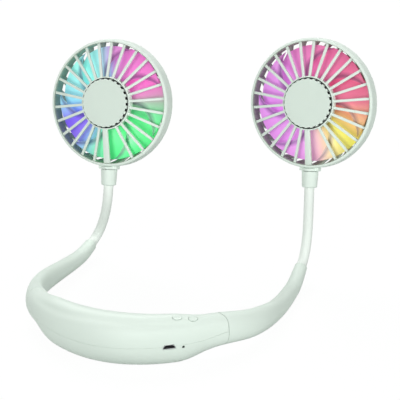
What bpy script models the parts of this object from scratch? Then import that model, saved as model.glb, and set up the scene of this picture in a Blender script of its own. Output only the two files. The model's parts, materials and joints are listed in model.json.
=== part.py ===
"""Neckband fan: a battery housing behind the neck, two arms, two flexible necks and two fan heads."""

import math

import bmesh
import bpy
import numpy as np
from mathutils import Matrix, Vector

# Lengths are in metres, angles in radians.
# The origin is under the middle of the housing, and the arms run to +Y.

# Fits shared by many pieces
GAP = 0.0003
OVERRUN = 0.002
PROBE = 0.00005
SIDES = {"right": 1, "left": -1}

# Centre line of the band, right half seen from above
SHOULDER_X = 0.0570
SHOULDER_Y = 0.0231
ARM_ROOT_X = 0.0722
ARM_ROOT_Y = 0.0451
ARM_FRONT_X = 0.0731
ARM_FRONT_Y = 0.1056
ARM_END_X = 0.0721
ARM_END_Y = 0.1252
LEFT_END_SHORTER = 0.0029

# Sections of the band: full height, full thickness, and height of the underside above the table
FLAT_DEPTH = 0.0005
HOUSING_HEIGHT = 0.0318
HOUSING_THICKNESS = 0.0228
CHEEK_STATION = 0.0381
CHEEK_HEIGHT = 0.0304
CHEEK_THICKNESS = 0.0178
CHEEK_LIFT = 0.0002
SHOULDER_HEIGHT = 0.0205
SHOULDER_THICKNESS = 0.0126
SHOULDER_LIFT = 0.0062
ARM_ROOT_HEIGHT = 0.0168
ARM_ROOT_THICKNESS = 0.0100
ARM_ROOT_LIFT = 0.0041
ARM_FRONT_HEIGHT = 0.0098
ARM_FRONT_THICKNESS = 0.0092
ARM_FRONT_LIFT = -0.0002
ARM_END_DIAMETER = 0.0076
ARM_END_LIFT = 0.0077
LEFT_END_LOWER = 0.0023
SECTION_SQUARENESS = 2.2

# Housing shells
WALL = 0.0018
SEAM_STATION = 0.0680
PARTING_HEIGHT = 0.0146
HOUSING_STATIONS = 19
OUTER_ARC_POINTS = 9
INNER_ARC_POINTS = 7

# Screws that hold the two shells together, from below
SCREW_STATIONS = (0.0225, -0.0480)
SCREW_SHANK_RADIUS = 0.0008
SCREW_HEAD_RADIUS = 0.0016
SCREW_HEAD_HEIGHT = 0.0012
SCREW_LENGTH = 0.0150
SCREW_SEAT_HEIGHT = 0.0050
POST_WALL = 0.0009
POST_RADIUS = SCREW_HEAD_RADIUS + GAP + POST_WALL
BOSS_WALL = 0.0013
BOSS_RADIUS = SCREW_SHANK_RADIUS + GAP + BOSS_WALL

# Board with the switches, the socket and the indicator, standing across the right cheek
BOARD_STATION = 0.0440
BOARD_LENGTH = 0.0240
BOARD_BOTTOM = 0.0095
BOARD_TOP = 0.0204
BOARD_THICKNESS = 0.0012
BOARD_OUTWARD = 0.0

# Buttons on the slope above the board
SPEED_BUTTON_ALONG = -0.0028
LIGHT_BUTTON_ALONG = 0.0065
BUTTON_LENGTH = 0.0052
BUTTON_WIDTH = 0.0024
BUTTON_OUTWARD = 0.0030
BUTTON_PROUD = 0.0004
BUTTON_EDGE = 0.0003
BUTTON_CLEARANCE = 0.0003
BUTTON_SKIRT = 0.0026
BUTTON_NECK_LENGTH = 0.0036
BUTTON_NECK_WIDTH = 0.0011
BUTTON_FLANGE_LENGTH = 0.0064
BUTTON_FLANGE_WIDTH = 0.0013
BUTTON_FLANGE_SHIFT = -0.0005
BUTTON_FLANGE_THICKNESS = 0.0007
BUTTON_FLANGE_DEPTH = 0.0032
BUTTON_STEM_RADIUS = 0.0009
BUTTON_TRAVEL = 0.0004
SWITCH_LENGTH = 0.0042
SWITCH_DEPTH = 0.0028
SWITCH_HEIGHT = 0.0034
SWITCH_PLUNGER_RADIUS = 0.0009
SWITCH_PLUNGER_HEIGHT = 0.0005

# Charging socket and indicator
SOCKET_ALONG = -0.0086
SOCKET_HEIGHT_ABOVE = 0.0143
SOCKET_WIDTH = 0.0075
SOCKET_TALL = 0.0026
SOCKET_METAL = 0.0003
SOCKET_CHAMFER = 0.0008
SOCKET_CAVITY = 0.0042
SOCKET_TONGUE_WIDTH = 0.0044
SOCKET_TONGUE_TALL = 0.0006
SOCKET_TONGUE_SETBACK = 0.0008
SOCKET_SETBACK = 0.0004
INDICATOR_ALONG = -0.0010
INDICATOR_HEIGHT_ABOVE = 0.0132
INDICATOR_RADIUS = 0.0007

# Battery
CELL_STATION = -0.0100
CELL_OUTWARD = -0.0016
CELL_LENGTH = 0.0400
CELL_THICKNESS = 0.0090
CELL_HEIGHT = 0.0190
CELL_BOTTOM = 0.0063
CELL_EDGE = 0.0015

# Arms
TONGUE_LENGTH = 0.0070
TONGUE_CLEARANCE = 0.0007
ARM_STATIONS = 15
ARM_POINTS = 12
ARM_BORE_STATIONS = 8
ARM_END_ROUNDING = 0.0006

# Motor leads: route of the long one inside the housing, as station, outward offset and height
LEAD_RADIUS = 0.0008
LEAD_START = 0.0585
LEAD_STEP = 0.0080
LONG_LEAD_ROUTE = (
    (0.0270, -0.0020, 0.0160),
    (0.0225, -0.0047, 0.0160),
    (0.0000, -0.0076, 0.0160),
    (-0.0100, -0.0079, 0.0160),
    (-0.0300, -0.0063, 0.0160),
    (-0.0480, -0.0043, 0.0160),
    (-0.0590, -0.0010, 0.0165),
)

# Flexible necks, each a chain of links with ball and cup ends
NECK_RADIUS = 0.0031
NECK_SWING = 0.0500
NECK_JOINT_SHARES = (0.20, 0.50, 0.80)
NECK_POINTS = 12
LINK_RING_STEP = 0.0030
BALL_RINGS = 3
CUP_RINGS = 3
POLE_SHARE = 0.12
PLUG_RADIUS = 0.0016
PLUG_LENGTH = 0.0050
ARM_BORE_GAP = 0.0005
ARM_BORE_RADIUS = PLUG_RADIUS + ARM_BORE_GAP

# Where each neck ends, at the foot of the collar, as the necks are bent in the photograph
COLLAR_FOOT = {"right": (0.0735, 0.1417, 0.0579), "left": (-0.0552, 0.1218, 0.0528)}
HEAD_TILT = math.radians(21.0)
HEAD_LEAN = math.radians(2.4)

# Collars
COLLAR_LENGTH = 0.0103
COLLAR_TOP_RADIUS = 0.0052
COLLAR_BOTTOM_RADIUS = 0.0044
COLLAR_CHAMFER = 0.0006
COLLAR_STEPS = 18
STEM_RADIUS = 0.0024
STEM_LENGTH = 0.0048
FLANGE_THICKNESS = 0.0018
SADDLE_WIDTH = 0.0124
SADDLE_DEPTH = 0.0056

# Fan heads: radii, and distances behind the plane of the front rim
HEAD_RADIUS = 0.0400
HEAD_DEPTH = 0.0170
HEAD_BACK_TAPER = 0.0044
HEAD_BACK_RADIUS = HEAD_RADIUS - HEAD_BACK_TAPER
SWIVEL_BEHIND = 0.0040
RIM_WIDTH = 0.0024
RIM_INNER_RADIUS = HEAD_RADIUS - RIM_WIDTH
RIM_DEPTH = 0.0030
RIM_EDGE = 0.0006
BARREL_WALL = 0.0018
BARREL_BULGE_BEHIND = 0.0070
BARREL_TURN_DEPTH = 0.0025
BARREL_TURN_BEHIND = HEAD_DEPTH - BARREL_TURN_DEPTH
BARREL_TURN_TAPER = 0.0029
BARREL_TURN_RADIUS = HEAD_RADIUS - BARREL_TURN_TAPER
HEAD_STEPS = 40
SPOKE_POSITIONS = 26
SPOKE_WIDTH = 0.0018
SPOKE_DEPTH = 0.0022
WIDE_SPOKE_WIDTH = 0.0043
WIDE_SPOKE_DEPTH = 0.0023
SPOKE_RIM_BEHIND = 0.0006
HUB_RING_RADIUS = 0.0166
HUB_RING_WALL = 0.0008
HUB_RING_FORWARD = 0.0045
SPOKE_STEP = 0.0003
SPOKE_HUB_FORWARD = HUB_RING_FORWARD - SPOKE_STEP
HUB_FLOOR_FORWARD = 0.0006
HUB_FLOOR = 0.0012
HUB_STEPS = 26

# Rear guard, held in the back of the barrel against a ledge
REAR_GUARD = 0.0018
GUARD_RING = 0.0016
LEDGE_WIDTH = 0.0010
LEDGE_THICKNESS = 0.0008
REAR_SPOKE_WIDTH = 0.0016
REAR_DISC_RADIUS = 0.0180

# Removable cap over the scent pad
CAP_CLEARANCE = 0.0004
CAP_PROUD = 0.0015
CAP_FORWARD = HUB_RING_FORWARD + CAP_PROUD
CAP_RADIUS = HUB_RING_RADIUS - HUB_RING_WALL - CAP_CLEARANCE
CAP_TOP = 0.0012
CAP_WALL = 0.0012
CAP_EDGE = 0.0005
PAD_CLEARANCE = 0.0017
PAD_RADIUS = CAP_RADIUS - CAP_WALL - PAD_CLEARANCE
PAD_THICKNESS = 0.0018

# Motor and light ring, standing on the guard's disc
SEAT_BEHIND = HEAD_DEPTH - REAR_GUARD - GAP
MOTOR_RADIUS = 0.0095
MOTOR_HEIGHT = 0.0086
MOTOR_EDGE = 0.0007
MOTOR_STEPS = 20
SHAFT_RADIUS = 0.0010
SHAFT_CLEARANCE = 0.0001
SHAFT_IN_MOTOR = 0.0060
LIGHT_RING_INSET = 0.0008
LIGHT_RING_RADIUS = REAR_DISC_RADIUS - LIGHT_RING_INSET
LIGHT_RING_CLEARANCE = 0.0008
LIGHT_RING_BORE = MOTOR_RADIUS + LIGHT_RING_CLEARANCE
LIGHT_RING_THICKNESS = 0.0008
LIGHT_COUNT = 6
LIGHT_SIZE = 0.0024
LIGHT_HEIGHT = 0.0006

# Impeller, running over the motor and between the two guards
RUNNING_GAP = 0.0008
IMPELLER_HUB_WALL = 0.0014
IMPELLER_HUB_CLEARANCE = 0.0023
IMPELLER_HUB_RADIUS = MOTOR_RADIUS + IMPELLER_HUB_CLEARANCE + IMPELLER_HUB_WALL
MOTOR_TOP_GAP = 0.0013
IMPELLER_FRONT_BEHIND = SEAT_BEHIND - MOTOR_HEIGHT - MOTOR_TOP_GAP - IMPELLER_HUB_WALL
IMPELLER_BACK_BEHIND = SEAT_BEHIND - LIGHT_RING_THICKNESS - LIGHT_HEIGHT - RUNNING_GAP
IMPELLER_BOSS_RADIUS = 0.0030
BLADES = 7
BLADE_TIP_CLEARANCE = 0.0040
BLADE_TIP_RADIUS = HEAD_RADIUS - BARREL_WALL - BLADE_TIP_CLEARANCE
BLADE_FRONT_GAP = 0.0010
BLADE_FRONT_BEHIND = RIM_DEPTH + BLADE_FRONT_GAP
BLADE_BACK_BEHIND = IMPELLER_BACK_BEHIND - RUNNING_GAP
BLADE_THICKNESS = 0.0009
BLADE_STATIONS = 5
BLADE_CHORD_POINTS = 4
BLADE_SPAN = math.radians(56)
BLADE_SWEEP = math.radians(-38)

# Finishes: colour, roughness and metallic
FINISHES = {
    "mint_plastic": ((0.79, 0.87, 0.81), 0.38, 0.0),
    "mint_silicone": ((0.78, 0.86, 0.80), 0.55, 0.0),
    "clear_blade": ((0.80, 0.86, 0.90), 0.25, 0.0),
    "dark_moulding": ((0.03, 0.03, 0.03), 0.45, 0.0),
    "steel": ((0.62, 0.62, 0.64), 0.28, 1.0),
    "green_laminate": ((0.05, 0.22, 0.10), 0.45, 0.0),
    "white_laminate": ((0.85, 0.85, 0.85), 0.45, 0.0),
    "silver_pouch": ((0.66, 0.68, 0.72), 0.35, 0.6),
    "felt": ((0.90, 0.89, 0.85), 0.95, 0.0),
    "clear_lens": ((0.85, 0.88, 0.86), 0.20, 0.0),
    "grey_insulation": ((0.42, 0.43, 0.43), 0.60, 0.0),
}


def clear_scene():
    """Remove whatever the new file starts with."""
    for item in list(bpy.data.objects):
        bpy.data.objects.remove(item, do_unlink=True)


def new_collection(name):
    """Make a collection under the scene."""
    made = bpy.data.collections.new(name)
    bpy.context.scene.collection.children.link(made)
    return made


clear_scene()
PARTS = new_collection("neckband_fan")
TOOLS = new_collection("neckband_fan_tools")


def finish_material(node_name, finish):
    """Give a node its own plain material in one of the finishes."""
    colour, roughness, metallic = FINISHES[finish]
    made = bpy.data.materials.new(node_name + "_" + finish)
    made.use_nodes = True
    shader = made.node_tree.nodes["Principled BSDF"]
    shader.inputs["Base Color"].default_value = (*colour, 1)
    shader.inputs["Roughness"].default_value = roughness
    shader.inputs["Metallic"].default_value = metallic
    made.diffuse_color = (*colour, 1)
    return made


def add_object(name, bm, finish=None, origin=Vector(), parent=None, smooth=True):
    """Turn a bmesh into an object whose origin is at the given point."""
    bmesh.ops.translate(bm, verts=bm.verts, vec=-Vector(origin))
    bmesh.ops.recalc_face_normals(bm, faces=bm.faces)
    mesh = bpy.data.meshes.new(name)
    bm.to_mesh(mesh)
    bm.free()
    made = bpy.data.objects.new(name, mesh)
    made.location = origin
    made.parent = parent
    if finish is None:
        TOOLS.objects.link(made)
        made.hide_render = True
        made.display_type = "WIRE"
        return made
    PARTS.objects.link(made)
    mesh.materials.append(finish_material(name, finish))
    if smooth:
        mesh.shade_smooth()
        mesh.set_sharp_from_angle(angle=math.radians(35))
    return made


def combine(target, tool, operation):
    """Cut a tool out of a piece, or join it on."""
    modifier = target.modifiers.new(tool.name, "BOOLEAN")
    modifier.operation = operation
    modifier.solver = "EXACT"
    modifier.object = tool


def loft(rings, into=None):
    """Skin a row of rings that have as many points as each other, and close both ends."""
    bm = into or bmesh.new()
    loops = [[bm.verts.new(point) for point in ring] for ring in rings]
    for lower, upper in zip(loops, loops[1:]):
        for i in range(len(lower)):
            j = (i + 1) % len(lower)
            bm.faces.new((lower[i], lower[j], upper[j], upper[i]))
    bm.faces.new(reversed(loops[0]))
    bm.faces.new(loops[-1])
    return bm


def turned(profile, steps):
    """Turn a closed profile of radius and height about the Z axis."""
    bm = bmesh.new()
    verts = [bm.verts.new((radius, 0, height)) for radius, height in profile]
    edges = [bm.edges.new((verts[i], verts[(i + 1) % len(verts)])) for i in range(len(verts))]
    bmesh.ops.spin(bm, geom=verts + edges, axis=(0, 0, 1), cent=(0, 0, 0), angle=2 * math.pi,
                   steps=steps, use_merge=True)
    return bm


def turned_solid(profile, steps):
    """Turn an open profile, from the axis at the top to the axis at the bottom, into a solid."""
    rings = []
    for radius, height in profile:
        rings.append([(radius * math.cos(turn), radius * math.sin(turn), height)
                      for turn in (2 * math.pi * k / steps for k in range(steps))])
    return loft(rings)


def block(size, centre, turn=None):
    """A box of the given size about a centre, turned by a matrix if one is given."""
    bm = bmesh.new()
    bmesh.ops.create_cube(bm, size=1)
    bmesh.ops.scale(bm, verts=bm.verts, vec=size)
    if turn:
        bmesh.ops.transform(bm, verts=bm.verts, matrix=turn)
    bmesh.ops.translate(bm, verts=bm.verts, vec=centre)
    return bm


def rod(start, end, radius, steps=16):
    """A cylinder between two points."""
    start, end = Vector(start), Vector(end)
    bm = bmesh.new()
    bmesh.ops.create_cone(bm, cap_ends=True, segments=steps, radius1=radius, radius2=radius,
                          depth=(end - start).length)
    turn = (end - start).to_track_quat("Z", "Y").to_matrix()
    bmesh.ops.rotate(bm, verts=bm.verts, matrix=turn)
    bmesh.ops.translate(bm, verts=bm.verts, vec=(start + end) / 2)
    return bm


def flatten_below_table(bm):
    """Cut off what is below the table and close the cut with a flat face."""
    everything = bm.verts[:] + bm.edges[:] + bm.faces[:]
    cut = bmesh.ops.bisect_plane(bm, geom=everything, plane_co=(0, 0, 0), plane_no=(0, 0, 1),
                                 clear_inner=True)
    edges = [item for item in cut["geom_cut"] if isinstance(item, bmesh.types.BMEdge)]
    bmesh.ops.edgeloop_fill(bm, edges=edges)


# The band: one centre line and one table of sections carry the housing and both arms

def natural_spline(knots, values):
    """The natural cubic through the values at the knots, as a function of the knot value."""
    knots, values = np.array(knots), np.array(values)
    steps = np.diff(knots)
    last = len(knots) - 1
    system = np.eye(last + 1)
    pull = np.zeros(values.shape)
    for i in range(1, last):
        system[i, i - 1:i + 2] = steps[i - 1], 2 * (steps[i - 1] + steps[i]), steps[i]
        rise_after = (values[i + 1] - values[i]) / steps[i]
        rise_before = (values[i] - values[i - 1]) / steps[i - 1]
        pull[i] = 6 * (rise_after - rise_before)
    bend = np.linalg.solve(system, pull)

    def at(station):
        i = int(np.clip(np.searchsorted(knots, station) - 1, 0, last - 1))
        after = (station - knots[i]) / steps[i]
        before = 1 - after
        curve = (before ** 3 - before) * bend[i] + (after ** 3 - after) * bend[i + 1]
        return before * values[i] + after * values[i + 1] + curve * steps[i] ** 2 / 6

    return at


def eased_table(knots, rows):
    """A smooth curve through the rows that never swings past them."""
    knots, rows = np.array(knots), np.array(rows)
    steps = np.diff(knots)[:, None]
    rises = np.diff(rows, axis=0) / steps
    slopes = np.zeros(rows.shape)
    for i in range(1, len(knots) - 1):
        before, after = rises[i - 1], rises[i]
        level = before * after <= 0
        weight_before = 2 * steps[i] + steps[i - 1]
        weight_after = steps[i] + 2 * steps[i - 1]
        safe_before = np.where(level, 1, before)
        safe_after = np.where(level, 1, after)
        mean = (weight_before + weight_after) / (weight_before / safe_before + weight_after / safe_after)
        slopes[i] = np.where(level, 0, mean)
    slopes[0] = ((2 * steps[0] + steps[1]) * rises[0] - steps[0] * rises[1]) / (steps[0] + steps[1])
    slopes[-1] = ((2 * steps[-1] + steps[-2]) * rises[-1] - steps[-1] * rises[-2]) / (steps[-1] + steps[-2])

    def at(station):
        i = int(np.clip(np.searchsorted(knots, station) - 1, 0, len(knots) - 2))
        step = steps[i]
        share = (station - knots[i]) / step
        square, cube = share ** 2, share ** 3
        value = rows[i] * (2 * cube - 3 * square + 1) + rows[i + 1] * (3 * square - 2 * cube)
        slope = slopes[i] * (cube - 2 * square + share) + slopes[i + 1] * (cube - square)
        return value + slope * step

    return at


BAND_KEYS = ((0, 0), (SHOULDER_X, SHOULDER_Y), (ARM_ROOT_X, ARM_ROOT_Y),
             (ARM_FRONT_X, ARM_FRONT_Y), (ARM_END_X, ARM_END_Y))
KEY_STATIONS = [0]
for here, there in zip(BAND_KEYS, BAND_KEYS[1:]):
    KEY_STATIONS.append(KEY_STATIONS[-1] + math.dist(here, there))
SHOULDER_STATION, ARM_ROOT_STATION, ARM_FRONT_STATION, ARM_END_STATION = KEY_STATIONS[1:]
SECTION_ROWS = (
    (0, -FLAT_DEPTH, HOUSING_HEIGHT, HOUSING_THICKNESS),
    (CHEEK_STATION, CHEEK_LIFT, CHEEK_HEIGHT, CHEEK_THICKNESS),
    (SHOULDER_STATION, SHOULDER_LIFT, SHOULDER_HEIGHT, SHOULDER_THICKNESS),
    (ARM_ROOT_STATION, ARM_ROOT_LIFT, ARM_ROOT_HEIGHT, ARM_ROOT_THICKNESS),
    (ARM_FRONT_STATION, ARM_FRONT_LIFT, ARM_FRONT_HEIGHT, ARM_FRONT_THICKNESS),
    (ARM_END_STATION, ARM_END_LIFT, ARM_END_DIAMETER, ARM_END_DIAMETER),
)


def both_ways(stations, rows, mirror, end_change):
    """Extend a table of the right half to the left half, whose arm ends a little differently."""
    left = [mirror(row) for row in rows[:0:-1]]
    left[0] = [value + change for value, change in zip(left[0], end_change)]
    return [-station for station in stations[:0:-1]] + list(stations), left + list(rows)


plan_curve = natural_spline(*both_ways(KEY_STATIONS, BAND_KEYS, lambda key: (-key[0], key[1]),
                                       (0, -LEFT_END_SHORTER)))
section_curve = eased_table(*both_ways(
    [row[0] for row in SECTION_ROWS],
    [(lift + height / 2, height, thickness) for _, lift, height, thickness in SECTION_ROWS],
    lambda row: row, (-LEFT_END_LOWER, 0, 0)))


def band_centre(station):
    """Point of the band's centre line at a distance along it, right of the middle."""
    x, y = plan_curve(station)
    return Vector((x, y, section_curve(station)[0]))


def band_frame(station):
    """Centre, direction, outward and upward directions of the band there."""
    along = (band_centre(station + PROBE) - band_centre(station - PROBE)).normalized()
    outward = along.cross(Vector((0, 0, 1))).normalized()
    return band_centre(station), along, outward, outward.cross(along)


def rounded(angle):
    """Cosine and sine of the slightly squared round that all sections share."""
    power = 2 / SECTION_SQUARENESS
    cosine, sine = math.cos(angle), math.sin(angle)
    return math.copysign(abs(cosine) ** power, cosine), math.copysign(abs(sine) ** power, sine)


def section_point(station, angle, inset):
    """Point on the band's surface, or inside it by the inset."""
    centre, _, outward, upward = band_frame(station)
    _, height, thickness = section_curve(station)
    across, rise = rounded(angle)
    return centre + outward * (thickness / 2 - inset) * across + upward * (height / 2 - inset) * rise


def level_angle(station, level, inset):
    """Angle at which the section, inside by the inset, crosses a level."""
    centre, _, _, upward = band_frame(station)
    share = (level - centre.z) / (upward.z * (section_curve(station)[1] / 2 - inset))
    share = max(-1, min(1, share))
    return math.asin(math.copysign(abs(share) ** (SECTION_SQUARENESS / 2), share))


def spread(start, end, count):
    """Evenly spaced values from start to end."""
    return [start + (end - start) * k / (count - 1) for k in range(count)]


def shell_ring(station, level, over_top):
    """Section of one shell: its outer arc, then its inner arc back."""
    ring = []
    for inset, count in ((0, OUTER_ARC_POINTS), (WALL, INNER_ARC_POINTS)):
        low = level_angle(station, level, inset)
        high = math.pi - low if over_top else -math.pi - low
        arc = [section_point(station, angle, inset) for angle in spread(low, high, count)]
        ring += arc if inset == 0 else arc[::-1]
    return ring


def surface_outward(station_frame, along, level):
    """How far outward of a frame's centre the band's skin lies at a place along the frame."""
    centre, direction, outward, _ = station_frame
    place = centre + direction * along
    best = min(spread(0, SEAM_STATION, 200),
               key=lambda station: (band_centre(station) - place).to_2d().length)
    skin = section_point(best, level_angle(best, level, 0), 0)
    return (skin - centre).dot(outward)


# Frame of the board: level, square to the band
board_centre = band_centre(BOARD_STATION)
board_along = band_frame(BOARD_STATION)[1].to_2d().normalized().to_3d()
board_outward = board_along.cross(Vector((0, 0, 1)))
BOARD_FRAME = (board_centre, board_along, board_outward, Vector((0, 0, 1)))
BOARD_TURN = Matrix((board_along, board_outward, Vector((0, 0, -1)))).transposed().to_4x4()
BOARD_FACE = BOARD_OUTWARD + BOARD_THICKNESS / 2


def board_place(along, outward, level):
    """World point from a place along the board, outward of the band's middle and above the table."""
    place = board_centre + board_along * along + board_outward * outward
    place.z = level
    return place


def skin_height(place):
    """Height of the band's upper skin above a point of the plan."""
    best = min(spread(0, SEAM_STATION, 400),
               key=lambda station: abs((band_centre(station) - place).to_2d().dot(
                   band_frame(station)[1].to_2d())))
    centre, _, outward, _ = band_frame(best)
    _, height, thickness = section_curve(best)
    across = abs((place - centre).dot(outward)) / (thickness / 2)
    rise = (1 - min(across, 1) ** SECTION_SQUARENESS) ** (1 / SECTION_SQUARENESS)
    return centre.z + height / 2 * rise


def oval(centre, length, width, count=20):
    """Points of a level oval whose length runs along the board."""
    return [centre + board_along * math.cos(turn) * length / 2 + board_outward * math.sin(turn) * width / 2
            for turn in (2 * math.pi * k / count for k in range(count))]


def build_button(name, along):
    """Push button that slides straight down: a sloped oval cap, a flange under the shell and a stem."""
    centre = board_place(along, BUTTON_OUTWARD, 0)
    slope_out = (skin_height(centre + board_outward * BUTTON_WIDTH / 2)
                 - skin_height(centre - board_outward * BUTTON_WIDTH / 2)) / BUTTON_WIDTH
    slope_along = (skin_height(centre + board_along * BUTTON_LENGTH / 2)
                   - skin_height(centre - board_along * BUTTON_LENGTH / 2)) / BUTTON_LENGTH
    top = skin_height(centre)

    def sloped(length, width, drop, shift=0):
        ring = oval(centre + board_outward * shift, length, width)
        for point in ring:
            offset = point - centre
            rise = offset.dot(board_outward) * slope_out + offset.dot(board_along) * slope_along
            point.z = top - drop + rise
        return ring

    stem = 2 * BUTTON_STEM_RADIUS
    stem_foot = oval(centre + board_outward * BUTTON_FLANGE_SHIFT, stem, stem)
    for point in stem_foot:
        point.z = BOARD_TOP + SWITCH_PLUNGER_HEIGHT + BUTTON_TRAVEL + GAP
    neck = (BUTTON_NECK_LENGTH, BUTTON_NECK_WIDTH)
    flange = (BUTTON_FLANGE_LENGTH, BUTTON_FLANGE_WIDTH)
    flange_foot = BUTTON_FLANGE_DEPTH + BUTTON_FLANGE_THICKNESS
    rings = [
        sloped(BUTTON_LENGTH - 2 * BUTTON_EDGE, BUTTON_WIDTH - 2 * BUTTON_EDGE, -BUTTON_PROUD),
        sloped(BUTTON_LENGTH, BUTTON_WIDTH, BUTTON_EDGE - BUTTON_PROUD),
        sloped(BUTTON_LENGTH, BUTTON_WIDTH, BUTTON_SKIRT),
        sloped(*neck, BUTTON_SKIRT, BUTTON_FLANGE_SHIFT),
        sloped(*neck, BUTTON_FLANGE_DEPTH, BUTTON_FLANGE_SHIFT),
        sloped(*flange, BUTTON_FLANGE_DEPTH, BUTTON_FLANGE_SHIFT),
        sloped(*flange, flange_foot, BUTTON_FLANGE_SHIFT),
        sloped(*neck, flange_foot, BUTTON_FLANGE_SHIFT),
        stem_foot,
    ]
    hole_size = 2 * BUTTON_CLEARANCE
    hole = oval(centre, BUTTON_LENGTH + hole_size, BUTTON_WIDTH + hole_size)
    shaft = [[point + Vector((0, 0, top + shift)) for point in hole]
             for shift in (OVERRUN * 2, -OVERRUN * 2)]
    cutter = add_object(name + "_hole", loft(shaft))
    button = add_object(name, loft(rings), "mint_plastic", origin=Vector((centre.x, centre.y, top)))
    return button, cutter


SWITCH_MIDDLE = BOARD_FACE + GAP + SWITCH_DEPTH / 2


def build_switch(name, along):
    """Side-mounted push switch on the upper edge of the board, with its plunger upwards."""
    bm = block((SWITCH_LENGTH, SWITCH_DEPTH, SWITCH_HEIGHT), (0, 0, 0), BOARD_TURN)
    bm.faces.ensure_lookup_table()
    lid = max(bm.faces, key=lambda face: face.calc_center_median().z)
    bmesh.ops.inset_region(bm, faces=[lid], thickness=SWITCH_DEPTH / 2 - SWITCH_PLUNGER_RADIUS)
    raised = bmesh.ops.extrude_face_region(bm, geom=[lid])
    bmesh.ops.delete(bm, geom=[lid], context="FACES_ONLY")
    moved = [item for item in raised["geom"] if isinstance(item, bmesh.types.BMVert)]
    bmesh.ops.translate(bm, verts=moved, vec=(0, 0, SWITCH_PLUNGER_HEIGHT))
    place = board_place(along, SWITCH_MIDDLE, BOARD_TOP - SWITCH_HEIGHT / 2)
    bmesh.ops.translate(bm, verts=bm.verts, vec=place)
    return add_object(name, bm, "dark_moulding", origin=place, smooth=False)


def socket_ring(outward, width, tall, chamfer):
    """Outline of the charging socket, narrower above, at a distance outward."""
    half_width, half_tall = width / 2, tall / 2
    outline = ((chamfer - half_width, half_tall), (half_width - chamfer, half_tall),
               (half_width, half_tall - chamfer), (half_width, -half_tall), (-half_width, -half_tall),
               (-half_width, half_tall - chamfer))
    return [board_place(SOCKET_ALONG + along, outward, SOCKET_HEIGHT_ABOVE + level)
            for along, level in outline]


def build_socket():
    """Metal charging socket with its cavity and tongue, and the cutter for its window."""
    back = BOARD_FACE + GAP
    front = surface_outward(BOARD_FRAME, SOCKET_ALONG, SOCKET_HEIGHT_ABOVE) - SOCKET_SETBACK
    inner = (SOCKET_WIDTH - 2 * SOCKET_METAL, SOCKET_TALL - 2 * SOCKET_METAL, SOCKET_CHAMFER)
    outer = (SOCKET_WIDTH, SOCKET_TALL, SOCKET_CHAMFER)
    tongue = (SOCKET_TONGUE_WIDTH, SOCKET_TONGUE_TALL, SOCKET_TONGUE_TALL / 4)
    floor = front - SOCKET_CAVITY
    rings = [socket_ring(back, *outer), socket_ring(front, *outer), socket_ring(front, *inner),
             socket_ring(floor, *inner), socket_ring(floor, *tongue),
             socket_ring(front - SOCKET_TONGUE_SETBACK, *tongue)]
    socket = add_object("usb_socket", loft(rings), "steel", smooth=False,
                        origin=board_place(SOCKET_ALONG, front, SOCKET_HEIGHT_ABOVE))
    window = (SOCKET_WIDTH + 2 * GAP, SOCKET_TALL + 2 * GAP, SOCKET_CHAMFER)
    reach = (back, front + 2 * OVERRUN)
    cutter = add_object("socket_window", loft([socket_ring(outward, *window) for outward in reach]))
    return socket, cutter


def build_indicator():
    """Light pipe of the charging indicator, and the cutter for its hole."""
    skin = surface_outward(BOARD_FRAME, INDICATOR_ALONG, INDICATOR_HEIGHT_ABOVE)
    start = board_place(INDICATOR_ALONG, BOARD_FACE + GAP, INDICATOR_HEIGHT_ABOVE)
    end = board_place(INDICATOR_ALONG, skin, INDICATOR_HEIGHT_ABOVE)
    add_object("charge_indicator", rod(start, end, INDICATOR_RADIUS, 12), "clear_lens", origin=end)
    beyond = end + board_outward * OVERRUN
    return add_object("indicator_hole", rod(start, beyond, INDICATOR_RADIUS + GAP, 12))


def screw_foot(index):
    """Place of a shell screw, on the table."""
    place = band_centre(SCREW_STATIONS[index])
    place.z = 0
    return place


def build_screw(index):
    """One screw, its head up in the lower shell and its shank in the upper shell's boss."""
    foot = screw_foot(index)
    neck = SCREW_SEAT_HEIGHT - GAP
    bottom = neck - SCREW_HEAD_HEIGHT
    profile = ((SCREW_SHANK_RADIUS / 2, neck + SCREW_LENGTH),
               (SCREW_SHANK_RADIUS, neck + SCREW_LENGTH - SCREW_SHANK_RADIUS),
               (SCREW_SHANK_RADIUS, neck), (SCREW_HEAD_RADIUS, neck), (SCREW_HEAD_RADIUS, bottom))
    bm = turned_solid(profile, 12)
    bmesh.ops.translate(bm, verts=bm.verts, vec=foot)
    add_object("shell_screw_%d" % (index + 1), bm, "steel", origin=foot)


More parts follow.
